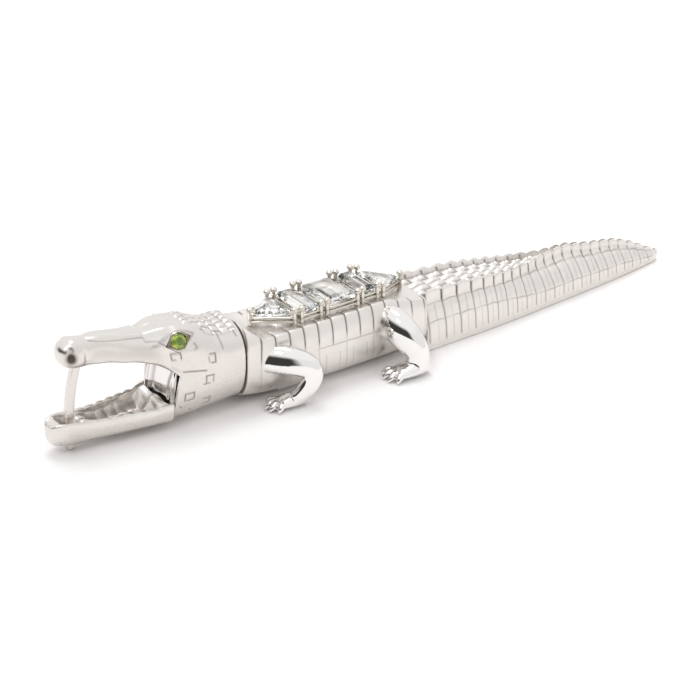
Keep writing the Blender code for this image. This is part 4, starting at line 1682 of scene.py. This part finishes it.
    def build(self) -> None:
        """Make the shell and the plate that closes it."""
        x = np.linspace(self.front, self.end, 290)
        skin = self.outline(x, self.around)
        facing = normals(skin)
        drawn_in = end_round(skin[..., 0], self.front, self.end, 0.15)
        raised = self.relief(skin) - 0.08 * self.engraved(skin) - drawn_in
        skin = skin + facing * raised[..., None]
        skin[..., 0] = np.clip(skin[..., 0], self.front, self.end)
        torso = loft("torso_casting_engraved", skin)
        bore = drum("pin bore", 0.7, HINGE.x, HINGE.z, 4.25, 40)
        rivet = post("rivet hole", 0.5, 38.2, 0.0, 6.0, 8.5)
        carve(torso, [self.hollow(), bore, rivet])
        crease(torso, 50.0)
        paint(torso, self.engraved)
        dress(torso, SATIN, Body.FIXED, "torso_casting")
        plate_x = np.linspace(28.0, 49.3, 70)
        rows = through(self.stations, plate_x)
        half = rows[:, 0] - 2.5
        plate = flat_plate("belly_plate_rim", plate_x, half, 0.25, 0.6)
        dress(plate, SATIN, Body.FIXED, "belly_plate")


def flat_plate(name: str, x: Array, half: Array, low: float, high: float) -> bpy.types.Object:
    """A plate with a rounded rim, its outline given as half widths along x.

    Args:
        name: the object's name.
        x: places along the animal.
        half: half width at each place.
        low: its lowest height.
        high: its highest height.

    Returns:
        The new object.
    """
    outline = np.concatenate([np.stack([x, -half], 1), np.stack([x, half], 1)[::-1]])
    z = np.array([low, high])[:, None]
    plate = loft(name, stacked(outline[:, 0], outline[:, 1], z), smooth=False, fan_ends=False)
    round_edges(plate, 0.12, 2)
    return plate


# ---------------------------------------------------------------- tail


@dataclass
class Tail:
    """The tail, with two crests that join into one, scutes between them and engraved sides."""

    # x, half width at the base, half width at the crest, crest height
    stations: tuple[tuple[float, ...], ...] = (
        (49.65, 4.55, 3.4, 7.9),
        (53.5, 4.4, 3.33, 7.8),
        (58.5, 4.25, 3.2, 7.5),
        (62.7, 4.0, 2.9, 7.0),
        (67.3, 3.65, 2.0, 6.6),
        (71.5, 3.25, 0.8, 6.5),
        (75.0, 2.95, 0.4, 6.6),
        (80.0, 2.45, 0.34, 5.7),
        (84.0, 2.0, 0.32, 5.1),
        (87.7, 1.47, 0.28, 3.8),
        (90.0, 1.08, 0.25, 2.6),
        (91.6, 0.78, 0.24, 1.8),
        (92.5, 0.38, 0.24, 1.4),
    )
    floor: float = 0.56
    front: float = 49.65
    end: float = 92.5
    rings: int = 440
    # place along the tail and the scute that starts there
    starts: tuple[tuple[float, float], ...] = (
        (49.65, -0.1),
        (49.95, 0.0),
        (52.7, 1.0),
        (55.2, 2.0),
        (57.6, 3.0),
        (59.7, 4.0),
        (61.5, 5.0),
        (63.2, 6.0),
        (78.0, 14.7),
        (92.5, 23.4),
    )
    # share of the way up the side, how far the side has leaned in to the crest, undercut
    slope: tuple[tuple[float, float, float], ...] = (
        (0.0, 0.0, 0.05),
        (0.3, 0.0, 0.0),
        (0.62, 0.42, 0.0),
        (0.85, 0.97, 0.0),
        (0.95, 1.0, 0.0),
        (1.0, 1.05, 0.06),
    )
    scute_share: float = 0.38  # width of a scute as a share of the crest's half width

    def phase(self, x: Array) -> Array:
        """Count of scutes up to x."""
        return through(self.starts, np.ravel(x)).reshape(np.shape(x))

    def lobe(self, x: Array) -> Array:
        """The crest's leaf-shaped lobes: a slow rise and a quick fall in each scute."""
        t = self.phase(x) % 1.0
        return -0.15 + 0.34 * np.sin(math.pi * t**1.35) ** 0.6

    def sections(self) -> Array:
        """Half-outlines from the base over the crest to the middle, and their mirrors.

        Returns:
            Rings of shape (n, m, 3).
        """
        x = np.linspace(self.front, self.end, self.rings)
        wide, crest, top = through(self.stations, x).T
        u = np.linspace(0.0, 1.0, 68)
        lean = through(self.slope, u)
        y_side = wide[:, None] - (wide - crest)[:, None] * lean[:, 0][None] - lean[:, 1][None]
        y_side = np.maximum(y_side, 0.5 * crest[:, None])
        rise = (top + self.lobe(x) - self.floor)[:, None]
        z_side = self.floor + rise * u[None]
        y_top = crest[:, None] * np.linspace(0.92, 0.015, 36)[None]
        share = y_top / crest[:, None]
        dip = 0.75 * np.minimum(1.0, crest / 1.6)[:, None]
        valley = (top + np.minimum(self.lobe(x), 0.0))[:, None] - dip
        edge = (top + self.lobe(x))[:, None]
        z_top = valley + (edge - valley) * ease(share, 0.74, 0.93)
        fade = np.minimum(1.0, np.maximum(crest - 0.7, 0.0) / 1.8)[:, None]
        z_top = z_top + self.pyramids(x[:, None], share) * fade
        y_half = np.concatenate([y_side, y_top], axis=1)
        z_half = np.concatenate([z_side, z_top], axis=1)
        y = np.concatenate([-y_half, y_half[:, ::-1]], axis=1)
        z = np.concatenate([z_half, z_half[:, ::-1]], axis=1)
        return stacked(x[:, None], y, z)

    def pyramids(self, x: Array, share: Array) -> Array:
        """Rows of keeled scutes between the crests, each row half a scute behind the next.

        Args:
            x: places along the animal.
            share: distance from the middle over the crest's half width.

        Returns:
            The rise at each point.
        """
        row = (share / self.scute_share) % 2.0
        across = np.abs((share / self.scute_share) % 1.0 - 0.5) * 2.0
        t = (self.phase(x) + 0.5 * (row >= 1.0)) % 1.0
        along = ease(t, 0.0, 0.6) * (1.0 - ease(t, 0.78, 1.0))
        return 0.42 * along * (1.0 - across**1.6) * (share < 0.78)

    def grooves(self, points: Array) -> tuple[Array, Array]:
        """Engraving on the sides, and the joints between the scutes on top.

        Args:
            points: positions, shape (..., 3).

        Returns:
            The depth on the sides, and on top.
        """
        x, y, z = points[..., 0], np.abs(points[..., 1]), points[..., 2]
        rows = through(self.stations, x.ravel()).reshape(*x.shape, 3)
        crest, top = rows[..., 1], rows[..., 2]
        u = (z - self.floor) / np.maximum(top + self.lobe(x) - self.floor, 0.2)
        side = ease(y, crest * 0.86, crest * 0.97)
        count = self.phase(x - 0.5 * (u - 0.75) ** 2 * (u < 0.75))
        pitch = 1.62
        upper_line = 0.77 - 0.05 * ease(x, 66.0, 74.0)
        lower_line = 0.47 - 0.14 * ease(x, 60.0, 72.0)
        gap = np.abs((count + 0.5) % 1.0 - 0.5) * pitch
        offset = np.abs(count % 1.0 - 0.5) * pitch
        main = np.exp(-((gap / (0.07 + 0.045 * ease(u, 0.6, 0.95))) ** 2))
        half = np.exp(-((offset / 0.075) ** 2))
        keep = 0.5 + 0.5 * np.sin(np.round(count) * 2.4 + 1.0)
        heavy = ease(u, upper_line - 0.04, upper_line + 0.06)
        mid = (u < upper_line) & (u > lower_line)
        cut = main * (0.66 + 0.34 * heavy)
        cut = np.maximum(cut, half * 0.42 * mid * keep)
        cut = np.maximum(cut, half * 0.36 * (u < lower_line) * (1.0 - keep))
        for line, weight in ((upper_line, 0.6), (lower_line, 0.55)):
            level = np.exp(-(((u - line) * (top - self.floor) / 0.075) ** 2))
            cut = np.maximum(cut, weight * level * (0.75 + 0.25 * np.sin(x * 1.3 + line * 9.0)))
        cut = cut * side * ease(u, 0.03, 0.1) * (1.0 - ease(x, 90.6, 91.8))
        share = y / np.maximum(crest, 0.1)
        row = np.floor(share / self.scute_share)
        t = (self.phase(x) + 0.5 * (row >= 1.0)) % 1.0
        joint = np.exp(-(((t - 1.0) / 0.09) ** 2)) + np.exp(-((t / 0.07) ** 2))
        seam = np.exp(-(((share / self.scute_share + 0.5) % 1.0 - 0.5) ** 2) / 0.012)
        top_joint = 0.8 * np.maximum(joint, 0.8 * seam) * (1.0 - side)
        top_joint = top_joint * ease(crest, 0.7, 1.6) * (share < 0.86)
        return np.clip(cut, 0.0, 1.0), np.clip(top_joint, 0.0, 1.0)

    def engraved(self, points: Array) -> Array:
        """Both kinds of engraving together, from 0 to 1."""
        side, top = self.grooves(points)
        return np.maximum(side, top)

    def build(self) -> None:
        """Make the casting and the plate under it."""
        skin = self.sections()
        facing = normals(skin)
        side, _ = self.grooves(skin)
        # far behind the tip, so that only the front end is drawn in
        drawn_in = end_round(skin[..., 0], self.front, self.end + 9.0, 0.35)
        skin = skin - facing * (0.09 * side + drawn_in)[..., None]
        skin[..., 0] = np.clip(skin[..., 0], self.front, self.end)
        skin[..., 2] = np.maximum(skin[..., 2], self.floor)
        tail = loft("tail_casting_engraved", skin)
        carve(tail, [self.hollow()])
        crease(tail, 55.0)
        paint(tail, self.engraved)
        dress(tail, SATIN, Body.FIXED, "tail_casting")
        x = np.linspace(self.front + 0.1, self.end - 0.1, 90)
        plate = flat_plate("tail_base_rim", x, through(self.stations, x)[:, 0] - 0.05, 0.0, 0.55)
        dress(plate, SATIN, Body.FIXED, "tail_base_plate")

    def hollow(self) -> bpy.types.Object:
        """The space inside the tail, open through the floor.

        Returns:
            The new object.
        """
        x = np.array([51.5, 58.0, 66.0, 74.0, 80.0])
        wide, crest, top = through(self.stations, x).T
        ridge = np.maximum(crest - 1.0, 0.3)
        tall = self.floor + (top - self.floor) * 0.5
        roof = np.minimum(top - 2.0, self.floor + (top - self.floor) * 0.68)
        y = np.stack([1.0 - wide, 1.0 - wide, -ridge, ridge, wide - 1.0, wide - 1.0], axis=1)
        z = np.stack([0.0 * x - 1.0, tall, roof, roof, tall, 0.0 * x - 1.0], axis=1)
        return loft("tail hollow", stacked(x[:, None], y, z), fan_ends=False)


# ---------------------------------------------------------------- legs


@dataclass
class Leg:
    """A polished leg: limb, paw and toes melted into one casting and fitted to the flank."""

    # limb and paw hold rows of x, y, z, radius across, radius up; toes and palm hold x and y
    name: str
    side: Side
    limb: tuple[tuple[float, ...], ...]
    paw: tuple[tuple[float, ...], ...]
    toes: tuple[tuple[float, float], ...]
    palm: tuple[float, float]
    voxel: float = 0.1

    def mirrored(self, path: Sequence[Sequence[float]]) -> Array:
        """The path on this leg's side.

        Args:
            path: rows whose second number is y.

        Returns:
            The rows, their y on this leg's side.
        """
        rows = np.array(path, float)
        rows[:, 1] *= self.side.value
        return rows

    def toe(self, index: int, tip: tuple[float, float]) -> bpy.types.Object:
        """One toe from the palm to its claw, arched in the middle.

        Args:
            index: its number, for the name.
            tip: x and y of the claw.

        Returns:
            The new object.
        """
        x0, y0 = self.palm
        x1, y1 = tip
        path = (
            (x0 + 0.3 * (x1 - x0), y0 + 0.5 * (y1 - y0), 0.82, 0.46, 0.48),
            (x0 + 0.62 * (x1 - x0), y0 + 0.76 * (y1 - y0), 0.86, 0.46, 0.46),
            (x0 + 0.86 * (x1 - x0), y0 + 0.93 * (y1 - y0), 0.58, 0.38, 0.36),
            (x1, y1, 0.27, 0.2, 0.2),
        )
        return member(f"toe {index}", self.mirrored(path), 20, 24)

    def build(self, torso: Torso) -> None:
        """Make the leg.

        Args:
            torso: the flank that the leg's root is fitted to.
        """
        limb = member("limb", self.mirrored(self.limb), square=0.78, lean=0.3, relax=45)
        paw = member("paw", self.mirrored(self.paw), 36, 40)
        shells = [limb, paw, *(self.toe(index, tip) for index, tip in enumerate(self.toes))]
        leg = joined(f"{self.name}_{self.side.word}_leg_polished", shells)
        melt = leg.modifiers.new("melt together", "REMESH")
        melt.mode, melt.voxel_size, melt.use_smooth_shade = "VOXEL", self.voxel * MM, True
        soften = leg.modifiers.new("soften the joins", "SMOOTH")
        soften.factor, soften.iterations = 0.5, 12
        settle(leg)
        x = np.linspace(22.4, 49.6, 90)
        flank = loft("flank", torso.outline(x, 120, -0.6), fan_ends=False)
        ends, wide = np.array([22.5, 50.4]), np.array([4.3, 4.3])
        plate = flat_plate("plate space", ends, wide, -0.4, 1.05)
        carve(leg, [flank, plate])
        points = measured(leg)
        points[:, 2] = np.maximum(points[:, 2], 0.0)
        leg.data.vertices.foreach_set("co", placed(points).ravel())
        crease(leg, 78.0)
        paint(leg, self.painted_toe_shade)
        dress(leg, POLISHED, Body.FIXED, f"{self.name}_{self.side.word}_leg")

    def painted_toe_shade(self, points: Array) -> Array:
        """Painted shade low between the toes.

        Args:
            points: positions, shape (..., 3).

        Returns:
            The depth at each point.
        """
        x, y, z = points[:, 0], np.abs(points[:, 1]), points[:, 2]
        depth = np.zeros(len(points))
        for first, last in zip(self.toes[:-1], self.toes[1:]):
            tip = ((first[0] + last[0]) / 2 + 0.1, (first[1] + last[1]) / 2)
            root = (
                self.palm[0] + 0.35 * (tip[0] - self.palm[0]),
                self.palm[1] + 0.5 * (tip[1] - self.palm[1]),
            )
            depth = np.maximum(depth, 0.75 * stroke(x, y, root, tip, 0.12) * (z < 1.5))
        return depth


def legs() -> list[Leg]:
    """The four legs, the right ones mirror images of the left.

    Returns:
        Front and hind legs of both sides.
    """
    made = []
    for side in Side:
        made.append(
            Leg(
                "front",
                side,
                (
                    (25.3, 2.9, 6.0, 1.6, 1.7),
                    (27.1, 5.2, 6.2, 1.6, 1.72),
                    (29.2, 6.9, 5.6, 1.4, 1.5),
                    (30.15, 7.55, 4.8, 1.2, 1.3),
                    (29.9, 7.65, 3.6, 1.2, 1.2),
                    (28.95, 7.35, 2.2, 1.15, 1.1),
                    (28.0, 6.95, 1.3, 1.15, 1.0),
                ),
                (
                    (29.0, 6.9, 0.8, 0.8, 0.65),
                    (27.8, 6.6, 1.05, 1.25, 0.9),
                    (26.3, 6.2, 0.85, 1.4, 0.7),
                    (25.3, 5.95, 0.58, 1.15, 0.45),
                ),
                ((24.6, 4.7), (24.15, 5.5), (24.2, 6.45), (24.95, 7.4)),
                (26.6, 6.2),
            )
        )
        made.append(
            Leg(
                "hind",
                side,
                (
                    (43.6, 2.6, 6.3, 1.85, 1.9),
                    (43.8, 5.2, 6.45, 1.9, 1.95),
                    (44.3, 7.0, 5.5, 1.85, 1.85),
                    (45.0, 8.1, 4.0, 1.6, 1.6),
                    (45.4, 8.7, 2.6, 1.4, 1.35),
                    (45.0, 8.9, 1.35, 1.3, 1.2),
                ),
                (
                    (46.0, 8.9, 0.95, 0.85, 0.75),
                    (44.6, 8.7, 1.1, 1.35, 0.95),
                    (42.9, 8.3, 0.95, 1.6, 0.75),
                    (41.8, 8.1, 0.6, 1.3, 0.48),
                ),
                ((41.15, 6.4), (40.7, 7.4), (40.72, 8.5), (41.35, 9.55)),
                (43.2, 8.2),
            )
        )
    return made


# ---------------------------------------------------------------- stones and settings


@dataclass
class Plan:
    """A stone's outline in plan, moved in or out by any distance."""

    center: float
    half_x: float
    half_y: float
    corner: float

    def at(self, distance: float) -> Array:
        """An oblong with its corners cut off.

        Args:
            distance: how far in, or out if negative.

        Returns:
            Points of shape (n, 2).
        """
        x, y = self.half_x - distance, self.half_y - distance
        nip = max(self.corner - 0.586 * distance, 0.06)
        quarter = np.array([(x - nip, -y), (x, -y + nip), (x, y - nip), (x - nip, y)])
        return np.concatenate([quarter, -quarter]) + (self.center, 0.0)

    def claws(self) -> list[tuple[float, float]]:
        """The four claws, just outside the cut corners.

        Returns:
            x and y of each claw.
        """
        x = self.half_x - self.corner * 0.5 + 0.24
        y = self.half_y - self.corner * 0.5 + 0.3
        return [(self.center + sx * x, sy * y) for sx in (-1, 1) for sy in (-1, 1)]

    @property
    def inner(self) -> float:
        """How far the outline can move in before it closes."""
        return min(self.half_x, self.half_y)


@dataclass
class WedgePlan:
    """A triangular outline with its base across the animal, moved in or out by any distance."""

    base: float
    apex: float
    half_width: float
    corner: float = 0.6

    @property
    def inner(self) -> float:
        """The radius of the circle that fits inside: length * half / (slant + half)."""
        length = abs(self.apex - self.base)
        return length * self.half_width / (math.hypot(length, self.half_width) + self.half_width)

    def at(self, distance: float) -> Array:
        """The triangle scaled about the centre of that circle.

        Args:
            distance: how far in, or out if negative.

        Returns:
            Points of shape (n, 2).
        """
        length = abs(self.apex - self.base)
        toward = math.copysign(1.0, self.apex - self.base)
        foot = self.half_width * (1.0 - self.corner / length)
        tip = self.corner * 0.5 * self.half_width / length
        whole = np.array(
            [
                (self.base, self.half_width - self.corner),
                (self.base, self.corner - self.half_width),
                (self.base + toward * self.corner, -foot),
                (self.apex - toward * self.corner * 0.5, -tip),
                (self.apex - toward * self.corner * 0.5, tip),
                (self.base + toward * self.corner, foot),
            ]
        )
        middle = np.array([self.base + toward * self.inner, 0.0])
        return middle + (whole - middle) * (1.0 - distance / self.inner)

    def claws(self) -> list[tuple[float, float]]:
        """The three claws, at the corners.

        Returns:
            x and y of each claw.
        """
        toward = math.copysign(1.0, self.apex - self.base)
        x, y = self.base + toward * 0.18, self.half_width - 0.08
        return [(x, y), (x, -y), (self.apex + toward * 0.05, 0.0)]


@dataclass
class SetStone:
    """One step-cut stone in its wire gallery."""

    name: str
    plan: Plan | WedgePlan
    tilt: float = 0.0
    hinge: float = 0.0
    girdle: float = 10.5
    # share of the way in, height above the girdle
    steps: tuple[tuple[float, float], ...] = (
        (0.86, -1.1),
        (0.7, -0.98),
        (0.5, -0.76),
        (0.3, -0.48),
        (0.12, -0.2),
        (0.0, -0.04),
        (0.0, 0.05),
        (0.15, 0.24),
        (0.32, 0.39),
        (0.48, 0.47),
        (0.56, 0.5),
    )

    # height, radius of a claw there
    claw_radius: tuple[tuple[float, float], ...] = (
        (8.98, 0.3),
        (9.9, 0.28),
        (10.6, 0.26),
        (11.0, 0.3),
        (11.12, 0.34),
    )

    def level(self, outline: Array, height: Array | float) -> Array:
        """Outline points at a height, on a plane that drops toward the tail past the hinge."""
        drop = self.tilt * np.maximum(outline[..., 0] - self.hinge, 0.0)
        return stacked(outline[..., 0], outline[..., 1], np.asarray(height) - drop)

    def stone(self) -> None:
        """Facets between outlines that step in above and below the girdle."""
        reach = min(self.plan.inner, 2.2)
        rings = [
            self.level(self.plan.at(share * reach), self.girdle + height)
            for share, height in self.steps
        ]
        gem = loft(f"{self.name}_facets", np.array(rings), smooth=False, fan_ends=False)
        dress(gem, CLEAR, Body.FIXED, self.name)

    def rail(self, name: str, low: float, high: float) -> bpy.types.Object:
        """A wire with a rounded section that follows the outline.

        Args:
            name: the object's name.
            low: its lowest height.
            high: its highest height.

        Returns:
            The new object.
        """
        outline, inner = self.plan.at(-0.235), self.plan.at(0.13)
        middle, wide = (outline + inner) / 2, (outline - inner) / 2
        across = np.array([1.0, 1.0, 0.7, -0.7, -1.0, -1.0, -0.7, 0.7])
        up = np.array([-0.6, 0.6, 1.0, 1.0, 0.6, -0.6, -1.0, -1.0]) * (high - low) / 2
        plan = middle[:, None] + wide[:, None] * across[None, :, None]
        points = self.level(plan, (low + high) / 2 + up[None])
        return piece_from(name, points.reshape(-1, 3), grid_faces(*points.shape[:2], ring=True))

    def claw(self, name: str, x: float, y: float) -> bpy.types.Object:
        """A tapering wire from the low rail to a bead that leans over the stone.

        Args:
            name: the object's name.
            x: place along the animal.
            y: place across.

        Returns:
            The new object.
        """
        drop = self.tilt * max(0.0, x - self.hinge)
        heights = np.linspace(self.claw_radius[0][0], self.claw_radius[-1][0], 18)
        rows = through(self.claw_radius, heights)
        z = heights[:, None] - drop
        angle = turn(16)
        wire = loft(name, stacked(x + rows * np.cos(angle), y + rows * np.sin(angle), z))
        tip = bead(name + " bead", 0.47, (x, y, 11.06 - drop), 0.84)
        return joined(name + " set", [wire, tip])

    def build(self) -> None:
        """Make the stone and its setting."""
        self.stone()
        parts = [self.rail("upper rail", 9.88, 10.16), self.rail("lower rail", 9.32, 9.68)]
        parts += [self.claw(f"claw {n}", x, y) for n, (x, y) in enumerate(self.plan.claws())]
        setting = joined(f"{self.name}_gallery", parts)
        crease(setting, 50.0)
        paint(setting, self.shadow)
        dress(setting, WIRE, Body.FIXED, f"{self.name}_setting")

    def shadow(self, points: Array) -> Array:
        """Painted shade between the two rails and at the feet of the claws."""
        z = points[:, 2]
        return 0.5 * np.exp(-(((z - 9.78) / 0.16) ** 2)) + 0.5 * (1.0 - ease(z, 9.0, 9.35))


def set_stones() -> list[SetStone]:
    """The five stones along the back.

    Returns:
        The stones, front to rear.
    """
    return [
        SetStone("front_triangle", WedgePlan(30.35, 25.7, 3.2)),
        SetStone("front_baguette", Plan(32.65, 1.42, 3.1, 0.45)),
        SetStone("centre_stone", Plan(37.35, 2.4, 3.2, 0.65)),
        SetStone("rear_baguette", Plan(41.65, 1.1, 2.9, 0.4)),
        SetStone("rear_triangle", WedgePlan(43.6, 48.4, 3.0), 0.2, 42.8),
    ]


# ---------------------------------------------------------------- studio


@dataclass
class Studio:
    """Floor, sky, lights and camera."""

    eye: Point = (-115.62, -223.23, 142.93)
    gaze: Point = (0.5088, 0.7266, -0.4617)
    lens: float = 123.43
    sensor: float = 36.0
    floor_radius: float = 1500.0
    # the sky is dark below the first height and clear above the second, as the sine of elevation
    dark_below: float = 0.36
    clear_above: float = 0.62

    def floor(self) -> None:
        """A wide pale sheet that the clip stands on."""
        reach = np.linspace(0.002, 1.0, 40)[:, None] ** 2 * self.floor_radius
        angle = turn(96)
        points = stacked(MIDDLE + reach * np.cos(angle), reach * np.sin(angle), -0.02)
        count, around = points.shape[:2]
        mesh = bpy.data.meshes.new("pale_floor")
        # the quads are turned over, so that they face up
        faces = [(a, d, c, b) for a, b, c, d in grid_faces(count, around)]
        faces.append(tuple(range(around)))
        mesh.from_pydata(placed(points).tolist(), [], faces)
        floor = bpy.data.objects.new("pale_floor", mesh)
        bpy.context.scene.collection.objects.link(floor)
        made = bpy.data.materials.new("pale_paper")
        made.use_nodes = True
        tree = made.node_tree
        shader = tree.nodes["Principled BSDF"]
        place = node(tree, "TexCoord")
        noise = node(tree, "TexNoise")
        noise.inputs["Scale"].default_value = 400.0
        tree.links.new(place.outputs["Object"], noise.inputs["Vector"])
        color = blended(tree, noise.outputs["Fac"], (0.94, 0.925, 0.92), (0.93, 0.915, 0.91))
        tree.links.new(color, shader.inputs["Base Color"])
        shader.inputs["Roughness"].default_value = 0.75
        shader.inputs["Specular IOR Level"].default_value = 0.2
        mesh.materials.append(made)

    def sky(self) -> None:
        """A white room with a darker band low on the side that the clip faces."""
        world = bpy.data.worlds.new("white_room")
        bpy.context.scene.world = world
        world.use_nodes = True
        tree = world.node_tree
        background = tree.nodes["Background"]
        place = node(tree, "TexCoord")
        split = node(tree, "SeparateXYZ")
        tree.links.new(place.outputs["Generated"], split.inputs[0])
        height = node(tree, "MapRange", interpolation_type="SMOOTHSTEP")
        for socket, value in zip(height.inputs[1:5], (self.dark_below, self.clear_above, 1.0, 0.0)):
            socket.default_value = value
        tree.links.new(split.outputs["Z"], height.inputs[0])
        ahead = self.band(tree, split, height.outputs[0], (-0.98, -0.2), 0.97)
        beside = self.band(tree, split, height.outputs[0], (0.45, -0.89), 0.1)
        dark = arithmetic(tree, "MAXIMUM", ahead, beside)
        color = blended(tree, dark, (1.0, 1.0, 1.0), (0.02, 0.018, 0.016))
        tree.links.new(color, background.inputs["Color"])
        background.inputs["Strength"].default_value = 1.0

    def band(
        self,
        tree: bpy.types.NodeTree,
        split: bpy.types.Node,
        height: bpy.types.NodeSocket,
        heading: tuple[float, float],
        weight: float,
    ) -> bpy.types.NodeSocket:
        """A dark patch round a heading: weight * height * smoothstep(direction . heading).

        Args:
            tree: the tree that the node goes into.
            split: the direction's parts.
            height: how dark the band is at each height.
            heading: x and y of the patch's direction.
            weight: how dark it is.

        Returns:
            How dark the sky is.
        """
        east = arithmetic(tree, "MULTIPLY", split.outputs["X"], heading[0])
        north = arithmetic(tree, "MULTIPLY", split.outputs["Y"], heading[1])
        facing = node(tree, "MapRange", interpolation_type="SMOOTHSTEP")
        for socket, value in zip(facing.inputs[1:5], (0.35, 0.7, 0.0, weight)):
            socket.default_value = value
        tree.links.new(arithmetic(tree, "ADD", east, north), facing.inputs[0])
        return arithmetic(tree, "MULTIPLY", facing.outputs[0], height)

    def lamp(self, name: str, place: Sequence[float], size: float, power: float) -> None:
        """A square white light at a place in millimetres, aimed at the clip's middle.

        Args:
            name: the light's name.
            place: where it hangs, in millimetres.
            size: its side.
            power: its power in watts.
        """
        light = bpy.data.lights.new(name, "AREA")
        light.size, light.energy = size * MM, power
        lamp = bpy.data.objects.new(name, light)
        where = Vector(placed(np.array(place))[0])
        lamp.location = where
        lamp.rotation_mode = "QUATERNION"
        lamp.rotation_quaternion = (Vector((0.0, 0.0, 0.004)) - where).to_track_quat("-Z", "Y")
        bpy.context.scene.collection.objects.link(lamp)

    def camera(self) -> None:
        """A long lens from the clip's left front, a little above."""
        data = bpy.data.cameras.new("camera")
        data.lens, data.sensor_width = self.lens, self.sensor
        data.clip_start, data.clip_end = 0.01, 10.0
        camera = bpy.data.objects.new("camera", data)
        camera.location = Vector(placed(np.array(self.eye))[0])
        camera.rotation_mode = "QUATERNION"
        camera.rotation_quaternion = Vector(self.gaze).to_track_quat("-Z", "Y")
        bpy.context.scene.collection.objects.link(camera)
        bpy.context.scene.camera = camera

    def build(self) -> None:
        """Set up everything round the clip."""
        self.floor()
        self.sky()
        self.lamp("overhead", (120.0, 260.0, 980.0), 420.0, 2.6)
        self.lamp("left_front", (-520.0, -260.0, 800.0), 200.0, 0.9)
        self.camera()
        bpy.context.scene.view_settings.view_transform = "Standard"
        bpy.context.scene.view_settings.look = "None"


def clear_startup() -> None:
    """Remove whatever the starting scene holds."""
    for obj in list(bpy.data.objects):
        bpy.data.objects.remove(obj, do_unlink=True)


def main() -> None:
    """Build every piece round the frame."""
    logging.basicConfig(level=logging.INFO, format="%(name)s: %(message)s")
    clear_startup()
    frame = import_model()
    bar = RetainerBar()
    eyes = [Eye(side) for side in Side]
    torso = Torso()
    Head().build(bar, eyes)
    for eye in eyes:
        eye.build()
    bar.build()
    LowerJaw().build(bar)
    torso.build()
    Tail().build()
    for leg in legs():
        leg.build(torso)
    for stone in set_stones():
        stone.build()
    for name in UNSEEN_NODES:
        inner = frame["nodes"][name]
        inner.data.materials.clear()
        inner.data.materials.append(HIDDEN.material())
        LOG.info("%s: the frame's own shape", name)
    Studio().build()
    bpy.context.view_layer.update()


if __name__ == "__main__":
    main()
